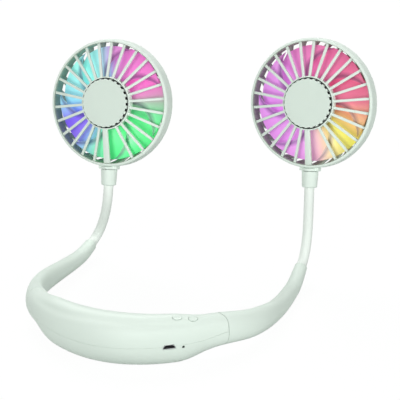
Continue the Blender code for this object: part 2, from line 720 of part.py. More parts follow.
def build_housing():
    """Both shells of the battery housing, with their posts, bosses, windows and flat underside."""
    stations = spread(-SEAM_STATION, SEAM_STATION, HOUSING_STATIONS)
    upper = loft([shell_ring(station, PARTING_HEIGHT + GAP / 2, True) for station in stations])
    lower = loft([shell_ring(station, PARTING_HEIGHT - GAP / 2, False) for station in stations])
    flatten_below_table(lower)
    middle = Vector((0, 0, PARTING_HEIGHT))
    upper_shell = add_object("housing_upper_shell", upper, "mint_plastic", origin=middle)
    lower_shell = add_object("housing_lower_shell", lower, "mint_plastic", origin=middle)
    hole = SCREW_SHANK_RADIUS + GAP
    for index, station in enumerate(SCREW_STATIONS):
        foot = screw_foot(index)
        number = "_%d" % (index + 1)
        up = Vector((0, 0, 1))
        centre, height, _ = section_curve(station)
        crown = centre + height / 2 - WALL / 2
        base = centre - height / 2 + WALL / 2
        post_top = PARTING_HEIGHT - GAP / 2
        post = add_object("post" + number, rod(foot + up * base, foot + up * post_top, POST_RADIUS))
        boss = add_object("boss" + number, rod(foot + up * (PARTING_HEIGHT + GAP / 2), foot + up * crown,
                                               BOSS_RADIUS))
        bore_top = foot + up * (SCREW_SEAT_HEIGHT + SCREW_LENGTH + GAP)
        bore = add_object("bore" + number, rod(foot, bore_top, hole, 12))
        sink = add_object("sink" + number, rod(foot - up * OVERRUN, foot + up * SCREW_SEAT_HEIGHT,
                                               SCREW_HEAD_RADIUS + GAP, 12))
        combine(lower_shell, post, "UNION")
        combine(upper_shell, boss, "UNION")
        combine(lower_shell, bore, "DIFFERENCE")
        combine(upper_shell, bore, "DIFFERENCE")
        combine(lower_shell, sink, "DIFFERENCE")
        build_screw(index)
    return upper_shell, lower_shell


def build_electronics(upper_shell, lower_shell):
    """Board, switches, buttons, socket, indicator and battery, with the windows that they need."""
    board_middle = board_place(0, BOARD_OUTWARD, (BOARD_BOTTOM + BOARD_TOP) / 2)
    board = block((BOARD_LENGTH, BOARD_THICKNESS, BOARD_TOP - BOARD_BOTTOM), board_middle, BOARD_TURN)
    add_object("main_board", board, "green_laminate", origin=board_middle, smooth=False)
    for name, along in (("speed", SPEED_BUTTON_ALONG), ("light", LIGHT_BUTTON_ALONG)):
        build_switch(name + "_switch", along)
        _, hole = build_button(name + "_button", along)
        combine(upper_shell, hole, "DIFFERENCE")
    _, window = build_socket()
    combine(upper_shell, window, "DIFFERENCE")
    combine(lower_shell, window, "DIFFERENCE")
    combine(lower_shell, build_indicator(), "DIFFERENCE")
    cell_along = band_frame(CELL_STATION)[1].to_2d().normalized().to_3d()
    cell_turn = Matrix((cell_along, cell_along.cross(Vector((0, 0, 1))), Vector((0, 0, -1))))
    middle = band_centre(CELL_STATION) + band_frame(CELL_STATION)[2] * CELL_OUTWARD
    middle.z = CELL_BOTTOM + CELL_HEIGHT / 2
    cell = block((CELL_LENGTH, CELL_THICKNESS, CELL_HEIGHT), middle, cell_turn.transposed().to_4x4())
    bmesh.ops.bevel(cell, geom=cell.edges[:], offset=CELL_EDGE, segments=2, profile=0.5, affect="EDGES",
                    material=-1)
    add_object("battery_cell", cell, "silver_pouch", origin=middle)


# Arms

def arm_ring(station, inset, count=ARM_POINTS):
    """Whole section of the band, smaller by the inset."""
    return [section_point(station, 2 * math.pi * k / count, inset) for k in range(count)]


def bore_ring(station, radius, count=ARM_POINTS):
    """Round ring about the band's centre line."""
    centre, _, outward, upward = band_frame(station)
    return [centre + outward * radius * math.cos(turn) + upward * radius * math.sin(turn)
            for turn in (2 * math.pi * k / count for k in range(count))]


def build_arm(side):
    """Tapered arm with a tongue that plugs into the housing and a bore for the motor lead."""
    sign = SIDES[side]
    seam = SEAM_STATION + GAP
    tongue_inset = WALL + TONGUE_CLEARANCE
    rings = [arm_ring(sign * station, tongue_inset) for station in (seam - TONGUE_LENGTH, seam)]
    body = spread(seam, ARM_END_STATION - ARM_END_ROUNDING, ARM_STATIONS)
    rings += [arm_ring(sign * station, 0) for station in body]
    rings.append(arm_ring(sign * ARM_END_STATION, ARM_END_ROUNDING))
    bore = [bore_ring(sign * station, ARM_BORE_RADIUS)
            for station in spread(ARM_END_STATION, seam - TONGUE_LENGTH, ARM_BORE_STATIONS)]
    bm = bmesh.new()
    loops = [[bm.verts.new(point) for point in ring] for ring in rings + bore]
    for lower, upper in zip(loops, loops[1:] + loops[:1]):
        for i in range(ARM_POINTS):
            j = (i + 1) % ARM_POINTS
            bm.faces.new((lower[i], lower[j], upper[j], upper[i]))
    flatten_below_table(bm)
    add_object("arm_" + side, bm, "mint_silicone", origin=band_centre(sign * seam))


def build_lead(side):
    """Motor lead from the board to the end of the arm, on its real route."""
    end = ARM_END_STATION - PLUG_LENGTH - GAP * 2
    if side == "right":
        points = [band_centre(LEAD_START)]
    else:
        points = []
        for station, outward, level in LONG_LEAD_ROUTE:
            centre, _, side_way, _ = band_frame(station)
            place = centre + side_way * outward
            place.z = level
            points.append(place)
    start = SEAM_STATION - TONGUE_LENGTH / 2
    count = int((end - start) / LEAD_STEP) + 1
    points += [band_centre(SIDES[side] * station) for station in spread(start, end, count)]
    route = smooth_route(points)
    curve = bpy.data.curves.new("motor_lead_" + side, "CURVE")
    curve.dimensions = "3D"
    curve.bevel_depth = LEAD_RADIUS
    curve.bevel_resolution = 2
    curve.use_fill_caps = True
    spline = curve.splines.new("POLY")
    spline.points.add(len(route) - 1)
    for point, place in zip(spline.points, route):
        point.co = (*place, 1)
    made = bpy.data.objects.new("motor_lead_" + side, curve)
    curve.materials.append(finish_material(made.name, "grey_insulation"))
    PARTS.objects.link(made)


def smooth_route(points):
    """Even points along the smooth curve through a route's own points."""
    knots = [0]
    for here, there in zip(points, points[1:]):
        knots.append(knots[-1] + (there - here).length)
    curve = natural_spline(knots, [tuple(point) for point in points])
    return [Vector(curve(place)) for place in spread(0, knots[-1], int(knots[-1] / LEAD_STEP) + 2)]


# Heads and necks

def head_frame(side):
    """Matrix from a head's own axes, X right, Y up the collar and Z forward, to the world."""
    forward = Vector((0, -math.cos(HEAD_TILT), math.sin(HEAD_TILT)))
    upright = Vector((0, math.sin(HEAD_TILT), math.cos(HEAD_TILT)))
    up = upright * math.cos(HEAD_LEAN) - Vector((1, 0, 0)) * math.sin(HEAD_LEAN)
    across = up.cross(forward)
    centre = Vector(COLLAR_FOOT[side]) + up * (COLLAR_LENGTH + FLANGE_THICKNESS + HEAD_RADIUS)
    matrix = Matrix((across, up, forward)).transposed().to_4x4()
    matrix.translation = centre
    return matrix


def neck_curve(side):
    """Points along the neck's centre line, from the arm's end to the collar's foot."""
    start, along, _, _ = band_frame(SIDES[side] * ARM_END_STATION)
    foot = Vector(COLLAR_FOOT[side])
    leave = along * SIDES[side] * NECK_SWING
    arrive = head_frame(side).to_3x3() @ Vector((0, 1, 0)) * NECK_SWING
    fine = []
    for share in spread(0, 1, 121):
        square, cube = share ** 2, share ** 3
        fine.append(start * (2 * cube - 3 * square + 1) + foot * (3 * square - 2 * cube)
                    + leave * (cube - 2 * square + share) + arrive * (cube - square))
    lengths = [0]
    for here, there in zip(fine, fine[1:]):
        lengths.append(lengths[-1] + (there - here).length)
    return natural_spline(lengths, [tuple(point) for point in fine]), lengths[-1]


def neck_frame(curve, place):
    """Centre, direction and two cross directions of a neck at a distance along it."""
    centre = Vector(curve(place))
    along = (Vector(curve(place + PROBE)) - Vector(curve(place - PROBE))).normalized()
    side_way = Vector((0, -1, 0)).cross(along).normalized()
    return centre, along, side_way, along.cross(side_way)


def neck_ring(frame, shift, radius):
    """Round ring about a neck frame, shifted along its direction."""
    centre, along, side_way, other = frame
    return [centre + along * shift + (side_way * math.cos(turn) + other * math.sin(turn)) * radius
            for turn in (2 * math.pi * k / NECK_POINTS for k in range(NECK_POINTS))]


def build_neck(side):
    """Four links of a flexible neck: a plug, cups that turn on balls, and a plug in the collar."""
    curve, length = neck_curve(side)
    joints = [length * share for share in NECK_JOINT_SHARES]
    cup = NECK_RADIUS + GAP
    rim_angle = math.asin(NECK_RADIUS / cup)
    starts = [GAP] + joints
    ends = joints + [length - GAP]
    for number, (start, end) in enumerate(zip(starts, ends), 1):
        first, last = neck_frame(curve, start), neck_frame(curve, end)
        rings = []
        if number == 1:
            rings += [neck_ring(first, -PLUG_LENGTH, PLUG_RADIUS), neck_ring(first, 0, PLUG_RADIUS),
                      neck_ring(first, 0, NECK_RADIUS)]
            body_start = start
        else:
            for angle in spread(rim_angle * POLE_SHARE, rim_angle, CUP_RINGS):
                rings.append(neck_ring(first, cup * math.cos(angle), cup * math.sin(angle)))
            body_start = start + cup * math.cos(rim_angle)
        count = max(2, int((end - body_start) / LINK_RING_STEP))
        for place in spread(body_start, end, count + 1)[1:]:
            rings.append(neck_ring(neck_frame(curve, place), 0, NECK_RADIUS))
        if number <= len(joints):
            for angle in spread(0, math.pi / 2 * (1 - POLE_SHARE), BALL_RINGS + 1)[1:]:
                rings.append(neck_ring(last, NECK_RADIUS * math.sin(angle), NECK_RADIUS * math.cos(angle)))
        else:
            rings += [neck_ring(last, 0, PLUG_RADIUS), neck_ring(last, PLUG_LENGTH, PLUG_RADIUS)]
        add_object("neck_%s_%d" % (side, number), loft(rings), "mint_silicone", origin=first[0])


def empty(name, matrix):
    """Empty that carries the pieces of one head."""
    made = bpy.data.objects.new(name, None)
    made.matrix_world = matrix
    made.empty_display_size = HEAD_RADIUS / 2
    PARTS.objects.link(made)
    return made


def build_collar(side):
    """Tapered collar: the neck's plug goes in from below and the head's stem from above."""
    top = COLLAR_LENGTH - GAP
    plug_bore, stem_bore = PLUG_RADIUS + GAP, STEM_RADIUS + GAP
    plug_depth = PLUG_LENGTH
    stem_floor = COLLAR_LENGTH - STEM_LENGTH - GAP
    if stem_floor < plug_depth + GAP:
        plug_depth = stem_floor - 2 * GAP
    profile = ((stem_bore, top), (COLLAR_TOP_RADIUS, top), (COLLAR_BOTTOM_RADIUS, COLLAR_CHAMFER),
               (COLLAR_BOTTOM_RADIUS - COLLAR_CHAMFER, 0), (plug_bore, 0), (plug_bore, stem_floor),
               (stem_bore, stem_floor))
    matrix = head_frame(side)
    up = (matrix.to_3x3() @ Vector((0, 1, 0))).normalized()
    bm = turned(profile, COLLAR_STEPS)
    made = add_object("collar_" + side, bm, "mint_plastic")
    turn = up.to_track_quat("Z", "Y").to_matrix().to_4x4()
    made.matrix_world = Matrix.Translation(COLLAR_FOOT[side]) @ turn


def head_object(name, side, bm, finish, parent):
    """Piece of a head, modelled about the fan's axis with the front rim's plane at height zero."""
    made = add_object("%s_%s" % (name, side), bm, finish, parent=parent)
    made.location = (0, 0, SWIVEL_BEHIND)
    return made


def spokes(inner, outer, width, depth, positions):
    """Radial bars in one mesh, each between an inner and an outer place of radius and height."""
    bm = bmesh.new()
    for angle in positions:
        way = Vector((math.cos(angle), math.sin(angle), 0))
        side_way = Vector((-way.y, way.x, 0)) * width / 2
        rings = []
        for radius, height in (inner, outer):
            middle = way * radius + Vector((0, 0, height))
            drop = Vector((0, 0, depth))
            rings.append((middle + side_way, middle - side_way, middle - side_way - drop,
                          middle + side_way - drop))
        loft(rings, bm)
    return bm


def spoke_angles():
    """Spoke positions counted from the wide spoke at the bottom, towards the viewer's right."""
    return [2 * math.pi * k / SPOKE_POSITIONS - math.pi / 2 for k in range(SPOKE_POSITIONS)]


def build_front_grille(side, parent):
    """Front grille: rim, spokes with one wide and one left out beside it, and the cup for the cap."""
    rim = ((RIM_INNER_RADIUS, 0), (HEAD_RADIUS - RIM_EDGE, 0), (HEAD_RADIUS, -RIM_EDGE),
           (HEAD_RADIUS, -RIM_DEPTH), (RIM_INNER_RADIUS, -RIM_DEPTH))
    grille = head_object("front_grille", side, turned(rim, HEAD_STEPS), "mint_plastic", parent)
    cup = ((HUB_RING_RADIUS - HUB_RING_WALL, HUB_FLOOR_FORWARD + HUB_FLOOR),
           (HUB_RING_RADIUS - HUB_RING_WALL, HUB_RING_FORWARD), (HUB_RING_RADIUS, HUB_RING_FORWARD),
           (HUB_RING_RADIUS, HUB_FLOOR_FORWARD))
    hub = add_object("hub_cup_" + side, turned_solid(cup, HUB_STEPS), parent=parent)
    inner = (HUB_RING_RADIUS - HUB_RING_WALL / 2, SPOKE_HUB_FORWARD)
    outer = (RIM_INNER_RADIUS + (HEAD_RADIUS - RIM_INNER_RADIUS) / 2, -SPOKE_RIM_BEHIND)
    angles = spoke_angles()
    bars = add_object("spokes_" + side, spokes(inner, outer, SPOKE_WIDTH, SPOKE_DEPTH, angles[2:]),
                      parent=parent)
    wide = add_object("wide_spoke_" + side,
                      spokes(inner, outer, WIDE_SPOKE_WIDTH, WIDE_SPOKE_DEPTH, angles[:1]), parent=parent)
    for tool in (hub, bars, wide):
        tool.location = grille.location
        combine(grille, tool, "UNION")


def build_rear_housing(side, parent):
    """Barrel with a ledge for the guard, and the flange and stem that turn in the collar."""
    front = -RIM_DEPTH - GAP
    back = -HEAD_DEPTH
    inner = HEAD_RADIUS - BARREL_WALL
    mouth = HEAD_BACK_RADIUS - BARREL_WALL
    ledge = back + REAR_GUARD + GAP
    profile = ((inner, front), (HEAD_RADIUS, front), (HEAD_RADIUS, -BARREL_BULGE_BEHIND),
               (BARREL_TURN_RADIUS, -BARREL_TURN_BEHIND), (HEAD_BACK_RADIUS, back), (mouth, back),
               (mouth, ledge), (mouth - LEDGE_WIDTH, ledge), (mouth - LEDGE_WIDTH, ledge + LEDGE_THICKNESS),
               (mouth, ledge + LEDGE_THICKNESS),
               (BARREL_TURN_RADIUS - BARREL_WALL, -BARREL_TURN_BEHIND + BARREL_WALL),
               (inner, -BARREL_BULGE_BEHIND))
    housing = head_object("rear_housing", side, turned(profile, HEAD_STEPS), "mint_plastic", parent)
    flange_foot = -HEAD_RADIUS - FLANGE_THICKNESS
    inside = -HEAD_RADIUS + BARREL_WALL / 2
    axis = -SWIVEL_BEHIND
    flange = rod((0, flange_foot, axis), (0, -HEAD_RADIUS - GAP, axis), COLLAR_TOP_RADIUS, COLLAR_STEPS)
    saddle = block((SADDLE_WIDTH, inside - flange_foot, SADDLE_DEPTH),
                   (0, (inside + flange_foot) / 2, front - SADDLE_DEPTH / 2))
    stem_foot = flange_foot - STEM_LENGTH
    stem = rod((0, stem_foot, axis), (0, flange_foot + FLANGE_THICKNESS / 2, axis), STEM_RADIUS)
    for name, bm in (("saddle_", saddle), ("flange_", flange), ("stem_", stem)):
        tool = add_object(name + side, bm, parent=parent)
        tool.location = housing.location
        combine(housing, tool, "UNION")


def build_rear_guard(side, parent):
    """Rear guard: a ring in the back of the barrel, ribs, and the disc that carries the motor."""
    back = -HEAD_DEPTH
    outside = HEAD_BACK_RADIUS - BARREL_WALL - GAP
    ring = ((outside - GUARD_RING, back), (outside, back), (outside, back + REAR_GUARD),
            (outside - GUARD_RING, back + REAR_GUARD))
    guard = head_object("rear_guard", side, turned(ring, HEAD_STEPS), "mint_plastic", parent)
    disc = ((REAR_DISC_RADIUS, back + REAR_GUARD), (REAR_DISC_RADIUS, back))
    top = back + REAR_GUARD - GAP
    ribs = spokes((REAR_DISC_RADIUS - GUARD_RING / 2, top), (outside - GUARD_RING / 2, top),
                  REAR_SPOKE_WIDTH, REAR_GUARD - 2 * GAP, spoke_angles())
    for name, bm in (("rear_disc_", turned_solid(disc, HUB_STEPS)), ("rear_ribs_", ribs)):
        tool = add_object(name + side, bm, parent=parent)
        tool.location = guard.location
        combine(guard, tool, "UNION")


def build_cap(side, parent):
    """Removable cap and the scent pad that it covers."""
    floor = HUB_FLOOR + HUB_FLOOR_FORWARD
    profile = ((CAP_RADIUS - CAP_EDGE, CAP_FORWARD), (CAP_RADIUS, CAP_FORWARD - CAP_EDGE),
               (CAP_RADIUS, floor + GAP), (CAP_RADIUS - CAP_WALL, floor + GAP),
               (CAP_RADIUS - CAP_WALL, CAP_FORWARD - CAP_TOP))
    head_object("scent_cap", side, turned_solid(profile, HUB_STEPS), "mint_plastic", parent)
    pad = ((PAD_RADIUS, floor + GAP + PAD_THICKNESS), (PAD_RADIUS, floor + GAP))
    head_object("scent_pad", side, turned_solid(pad, HUB_STEPS // 2), "felt", parent)


def build_drive(side, parent):
    """Motor, shaft, light ring and impeller."""
    seat = -SEAT_BEHIND
    motor_top = seat + MOTOR_HEIGHT
    motor_bore = SHAFT_RADIUS + SHAFT_CLEARANCE
    motor = ((motor_bore, motor_top), (MOTOR_RADIUS - MOTOR_EDGE, motor_top),
             (MOTOR_RADIUS, motor_top - MOTOR_EDGE), (MOTOR_RADIUS, seat), (motor_bore, seat))
    head_object("motor", side, turned(motor, MOTOR_STEPS), "steel", parent)
    hub_top = -IMPELLER_FRONT_BEHIND
    hub_under = hub_top - IMPELLER_HUB_WALL
    boss_foot = motor_top + 2 * GAP
    shaft_top = hub_top - IMPELLER_HUB_WALL / 2
    shaft = ((SHAFT_RADIUS, shaft_top), (SHAFT_RADIUS, motor_top - SHAFT_IN_MOTOR))
    head_object("motor_shaft", side, turned_solid(shaft, 12), "steel", parent)
    ring_top = seat + LIGHT_RING_THICKNESS
    ring = ((LIGHT_RING_BORE, ring_top), (LIGHT_RING_RADIUS, ring_top), (LIGHT_RING_RADIUS, seat),
            (LIGHT_RING_BORE, seat))
    light_ring = head_object("light_ring", side, turned(ring, MOTOR_STEPS), "white_laminate", parent)
    lights = bmesh.new()
    circle = (LIGHT_RING_BORE + LIGHT_RING_RADIUS) / 2
    level = ring_top + (LIGHT_HEIGHT - GAP) / 2
    for k in range(LIGHT_COUNT):
        angle = 2 * math.pi * k / LIGHT_COUNT
        centre = (circle * math.cos(angle), circle * math.sin(angle), level)
        turn = Matrix.Rotation(angle, 4, "Z")
        made = bmesh.ops.create_cube(lights, size=1)["verts"]
        bmesh.ops.scale(lights, verts=made, vec=(LIGHT_SIZE, LIGHT_SIZE, LIGHT_HEIGHT + GAP))
        bmesh.ops.transform(lights, verts=made, matrix=Matrix.Translation(centre) @ turn)
    tool = add_object("lights_" + side, lights, parent=parent)
    tool.location = light_ring.location
    combine(light_ring, tool, "UNION")
    shaft_bore = SHAFT_RADIUS + GAP
    hub = ((IMPELLER_HUB_RADIUS - CAP_EDGE, hub_top), (IMPELLER_HUB_RADIUS, hub_top - CAP_EDGE),
           (IMPELLER_HUB_RADIUS, -IMPELLER_BACK_BEHIND),
           (IMPELLER_HUB_RADIUS - IMPELLER_HUB_WALL, -IMPELLER_BACK_BEHIND),
           (IMPELLER_HUB_RADIUS - IMPELLER_HUB_WALL, hub_under), (IMPELLER_BOSS_RADIUS, hub_under),
           (IMPELLER_BOSS_RADIUS, boss_foot), (shaft_bore, boss_foot), (shaft_bore, shaft_top + GAP))
    impeller = head_object("impeller", side, turned_solid(hub, HUB_STEPS), "clear_blade", parent)
    blades = add_object("blades_" + side, blade_mesh(), parent=parent)
    blades.location = impeller.location
    combine(impeller, blades, "UNION")


def blade_mesh():
    """All blades of the impeller: swept, pitched and thin, each from the hub wall to its tip."""
    bm = bmesh.new()
    root = IMPELLER_HUB_RADIUS - IMPELLER_HUB_WALL / 2
    for blade in range(BLADES):
        turn = 2 * math.pi * blade / BLADES
        rings = []
        for radius in spread(root, BLADE_TIP_RADIUS, BLADE_STATIONS):
            share = (radius - root) / (BLADE_TIP_RADIUS - root)
            lead = turn + BLADE_SWEEP * share ** 2
            upper, lower = [], []
            for chord in spread(0, 1, BLADE_CHORD_POINTS):
                angle = lead + BLADE_SPAN * chord
                eased = chord ** 2 * (3 - 2 * chord)
                fall = (chord + eased) / 2
                middle = -BLADE_FRONT_BEHIND - (BLADE_BACK_BEHIND - BLADE_FRONT_BEHIND) * fall
                place = Vector((radius * math.cos(angle), radius * math.sin(angle), middle))
                upper.append(place + Vector((0, 0, BLADE_THICKNESS / 2)))
                lower.append(place - Vector((0, 0, BLADE_THICKNESS / 2)))
            rings.append(upper + lower[::-1])
        loft(rings, bm)
    return bm


def build_head(side):
    """One fan head on an empty at the crossing of its fan axis and its swivel axis."""
    matrix = head_frame(side)
    parent = empty("head_" + side, matrix)
    build_front_grille(side, parent)
    build_rear_housing(side, parent)
    build_rear_guard(side, parent)
    build_cap(side, parent)
    build_drive(side, parent)


def main():
    """Model the whole fan."""
    shells = build_housing()
    build_electronics(*shells)
    for side in SIDES:
        build_arm(side)
        build_lead(side)
        build_neck(side)
        build_collar(side)
        build_head(side)
    bpy.context.view_layer.update()


main()
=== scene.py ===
"""Looks of a neckband fan: satin ABS shells, silicone-sleeved necks and lit, frosted impellers."""

import json
import math

import bmesh
import bpy
import numpy as np
from bpy.props import FloatProperty, FloatVectorProperty, IntProperty, PointerProperty, StringProperty
from mathutils import Matrix, Vector


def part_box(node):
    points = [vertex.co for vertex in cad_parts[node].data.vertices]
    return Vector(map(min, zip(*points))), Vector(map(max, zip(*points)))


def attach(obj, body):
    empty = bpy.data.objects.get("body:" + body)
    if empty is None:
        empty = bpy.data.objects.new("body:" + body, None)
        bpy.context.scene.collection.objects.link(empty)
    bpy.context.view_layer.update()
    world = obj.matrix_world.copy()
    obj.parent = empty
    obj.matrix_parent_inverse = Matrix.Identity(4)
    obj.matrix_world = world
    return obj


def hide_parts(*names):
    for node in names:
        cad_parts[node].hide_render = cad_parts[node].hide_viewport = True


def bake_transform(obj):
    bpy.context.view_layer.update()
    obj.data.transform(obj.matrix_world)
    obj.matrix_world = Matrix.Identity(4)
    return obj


bl_info = {
    "name": "Neckband fan",
    "version": (1, 0, 0),
    "blender": (4, 5, 0),
    "location": "3D View > Sidebar > Fan",
    "description": "Builds the visible pieces of a neckband fan around its packed model",
    "category": "Object",
}

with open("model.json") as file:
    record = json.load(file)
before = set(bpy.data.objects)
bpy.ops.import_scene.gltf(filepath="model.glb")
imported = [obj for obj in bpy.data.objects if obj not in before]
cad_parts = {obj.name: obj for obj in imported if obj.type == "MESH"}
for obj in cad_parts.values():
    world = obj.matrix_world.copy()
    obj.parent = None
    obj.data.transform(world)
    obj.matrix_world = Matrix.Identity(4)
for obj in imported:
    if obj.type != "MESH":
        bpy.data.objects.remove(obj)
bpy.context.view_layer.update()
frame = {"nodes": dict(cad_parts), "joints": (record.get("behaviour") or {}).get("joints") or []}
JOINTS = {joint["name"]: joint for joint in frame["joints"]}
SIDES = {"right": 1, "left": -1}
MM = 0.001
UP = Vector((0, 0, 1))


def length(name, description, default):
    """A size in metres that a user may change."""
    return FloatProperty(name=name, description=description, default=default, unit="LENGTH", precision=5)


def lengths(name, description, default):
    """A row of sizes in metres that a user may change."""
    return FloatVectorProperty(name=name, description=description, default=default, size=len(default),
                               unit="LENGTH", precision=5)


def numbers(name, description, default):
    """A row of plain numbers that a user may change."""
    return FloatVectorProperty(name=name, description=description, default=default, size=len(default))


def degrees(name, description, default):
    """An angle in degrees that a user may change."""
    return FloatProperty(name=name, description=description, default=math.radians(default), subtype="ANGLE")


def number_of(name, description, default):
    """A count that a user may change."""
    return IntProperty(name=name, description=description, default=default)


def swatch(name, description, default):
    """A colour as an sRGB hex value."""
    return StringProperty(name=name, description=description, default=default)


# Sizes and colours

LAMP_WORDS = "Power in watts, turn and height in degrees, distance and width in metres"


class BandSizes(bpy.types.PropertyGroup):
    """Centre line and sections of the housing and the arms; a section is lift, height and thickness."""

    shoulder: lengths("Shoulder", "Centre line where the housing turns forward", (0.0570, 0.0231))
    arm_root: lengths("Arm root", "Centre line where the arm begins to run forward", (0.0722, 0.0451))
    arm_front: lengths("Arm front", "Centre line near the front of the arm", (0.0731, 0.1056))
    arm_end: lengths("Arm end", "Centre line at the end of the arm", (0.0721, 0.1252))
    middle_section: lengths("Middle section", "Section behind the neck", (-0.0005, 0.0318, 0.0228))
    cheek_section: lengths("Cheek section", "Section beside the buttons", (0.0002, 0.0304, 0.0178))
    shoulder_section: lengths("Shoulder section", "Section at the shoulder", (0.0062, 0.0205, 0.0126))
    root_section: lengths("Root section", "Section at the arm's root", (0.0041, 0.0168, 0.0100))
    front_section: lengths("Front section", "Section at the arm's front", (-0.0002, 0.0098, 0.0092))
    end_section: lengths("End section", "Section at the arm's end", (0.0077, 0.0076, 0.0076))
    left_end: lengths("Left end", "How much shorter and lower the left arm ends", (0.0029, 0.0023))
    left_front: lengths("Left front", "How much higher and slimmer the left arm is near its front",
                        (0.0022, 0.0006))
    cheek_station: length("Cheek station", "Distance of the cheek from the middle", 0.0381)
    squareness: FloatProperty(name="Squareness", description="Power of the rounded section", default=2.2)
    wall: length("Wall", "Thickness of the shells", 0.0018)
    parting_height: length("Parting height", "Height of the line between the shells", 0.0146)
    parting_gap: length("Parting gap", "Width of the line between the shells", 0.00012)
    seam_station: length("Seam station", "Distance of the arm's seam from the middle", 0.0690)
    seam_gap: length("Seam gap", "Width of the arm's seam", 0.00032)
    seam_lean: lengths("Seam lean", "How far the seam runs towards the housing at its top and at its bottom",
                       (0.0032, 0.0020))
    seam_blend: length("Seam blend", "Length over which the leaning fades out", 0.0130)
    tilt: degrees("Tilt", "How far the outer face looks up where the band turns forward", 15)
    tilt_start: lengths("Tilt start", "Distances from the middle between which that tilt begins",
                        (0.052, 0.068))
    tilt_end: lengths("Tilt end", "Distances from the middle between which it ends", (0.090, 0.114))
    crease_depth: length("Crease depth", "Depth of the soft hollow along the housing", 0.0009)
    crease_reach: length("Crease reach", "Distance over which the hollow fades out", 0.0640)
    end_rounding: length("End rounding", "Rounding of the arm's front edge", 0.0007)


class NeckSizes(bpy.types.PropertyGroup):
    """Sizes of the flexible necks and the collars."""

    radius: length("Radius", "Radius of the sleeve", 0.00305)
    swing: length("Swing", "Pull of the end directions on the neck's curve", 0.0500)
    tuck: length("Tuck", "Length of sleeve hidden in the arm and in the collar", 0.0015)
    bend: length("Bend", "Length of sleeve that bends about one joint", 0.0130)
    collar_length: length("Collar length", "Length of the collar", 0.0100)
    collar_top: length("Collar top", "Radius of the collar at the head", 0.0052)
    collar_bottom: length("Collar bottom", "Radius of the collar at the neck", 0.0047)
    collar_chamfer: length("Collar chamfer", "Chamfer at the foot of the collar", 0.0006)


class HeadSizes(bpy.types.PropertyGroup):
    """Sizes of the fan heads; depths run back from the plane of the front rim."""

    radius: length("Radius", "Outer radius of the head", 0.0400)
    opening: length("Opening", "Inner radius of the front rim", 0.0380)
    rim_forward: length("Rim forward", "How far the rim's face comes forward", 0.0008)
    rim_rounding: lengths("Rim rounding", "Rounding of the rim's face at its inner and its outer edge",
                          (0.0004, 0.0015))
    rim_depth: length("Rim depth", "Depth of the front rim", 0.0030)
    depth: length("Depth", "Depth of the whole head", 0.0170)
    band_depth: length("Band depth", "Depth at which the closed wall of the barrel ends", 0.0088)
    shoulder: lengths("Shoulder", "Radius and depth along a rib of the barrel, from the back to the wall",
                      (0.0331, 0.0161, 0.0345, 0.0153, 0.0363, 0.0133, 0.0378, 0.0108, 0.0390, 0.0081))
    wall: length("Wall", "Wall of the barrel", 0.0018)
    swivel_depth: length("Swivel depth", "Depth of the collar's axis", 0.0040)
    spokes: number_of("Spokes", "Spoke positions around the grille", 26)
    spoke_width: length("Spoke width", "Width of a spoke", 0.0017)
    spoke_depth: length("Spoke depth", "Depth of a spoke", 0.0017)
    wide_spoke: lengths("Wide spoke", "Width of the bottom spoke at the hub and at the rim", (0.0034, 0.0043))
    spoke_rise: length("Spoke rise", "How far the spokes come forward at the hub", 0.0050)
    spoke_end: length("Spoke end", "How far the spokes lie behind the rim's face", 0.0009)
    hub_ring: length("Hub ring", "Outer radius of the ring around the cap", 0.0166)
    hub_ring_wall: length("Hub ring wall", "Wall of that ring", 0.0008)
    hub_forward: length("Hub forward", "How far that ring comes forward", 0.0054)
    hub_floor: length("Hub floor", "How far the ring's floor is forward", 0.0006)
    cap_radius: length("Cap radius", "Radius of the scent cap", 0.0152)
    cap_forward: length("Cap forward", "How far the cap comes forward", 0.0069)
    cap_notch: lengths("Cap notch", "Width and depth of the slots around the cap", (0.0019, 0.0012))
    rear_disc: length("Rear disc", "Radius of the disc at the back", 0.0180)
    rear_rib: lengths("Rear rib", "Width and depth of a rib at the back", (0.0016, 0.0018))
    shoulder_rib: length("Shoulder rib", "Width of a rib on the barrel's shoulder", 0.0038)
    rear_ribs: number_of("Rear ribs", "Curved ribs at the back", 26)
    rear_swirl: degrees("Rear swirl", "Angle that a rib at the back covers", -50)
    shoulder_swirl: degrees("Shoulder swirl", "Angle that its outer end covers", -12)
    guard_ring: lengths("Guard ring", "Outer and inner radius of the rear guard's ring", (0.0335, 0.0319))
    saddle: lengths("Saddle", "Width and depth of the foot under the barrel", (0.0124, 0.0056))
    flange: length("Flange", "Thickness of that foot", 0.0018)
    impeller_hub: length("Impeller hub", "Radius of the impeller's hub", 0.0132)
    impeller_tip: length("Impeller tip", "Radius of the blade tips", 0.0357)
    blade_front: length("Blade front", "Depth of the blades' leading edge", 0.0020)
    blade_back: length("Blade back", "Depth of the blades' trailing edge", 0.0090)
    blade_thickness: length("Blade thickness", "Thickness of a blade", 0.0009)
    blades: number_of("Blades", "Blades of the impeller", 7)
    blade_span: degrees("Blade span", "Angle that a blade covers", 66)
    blade_sweep: degrees("Blade sweep", "Angle by which a blade's tip leads", -38)


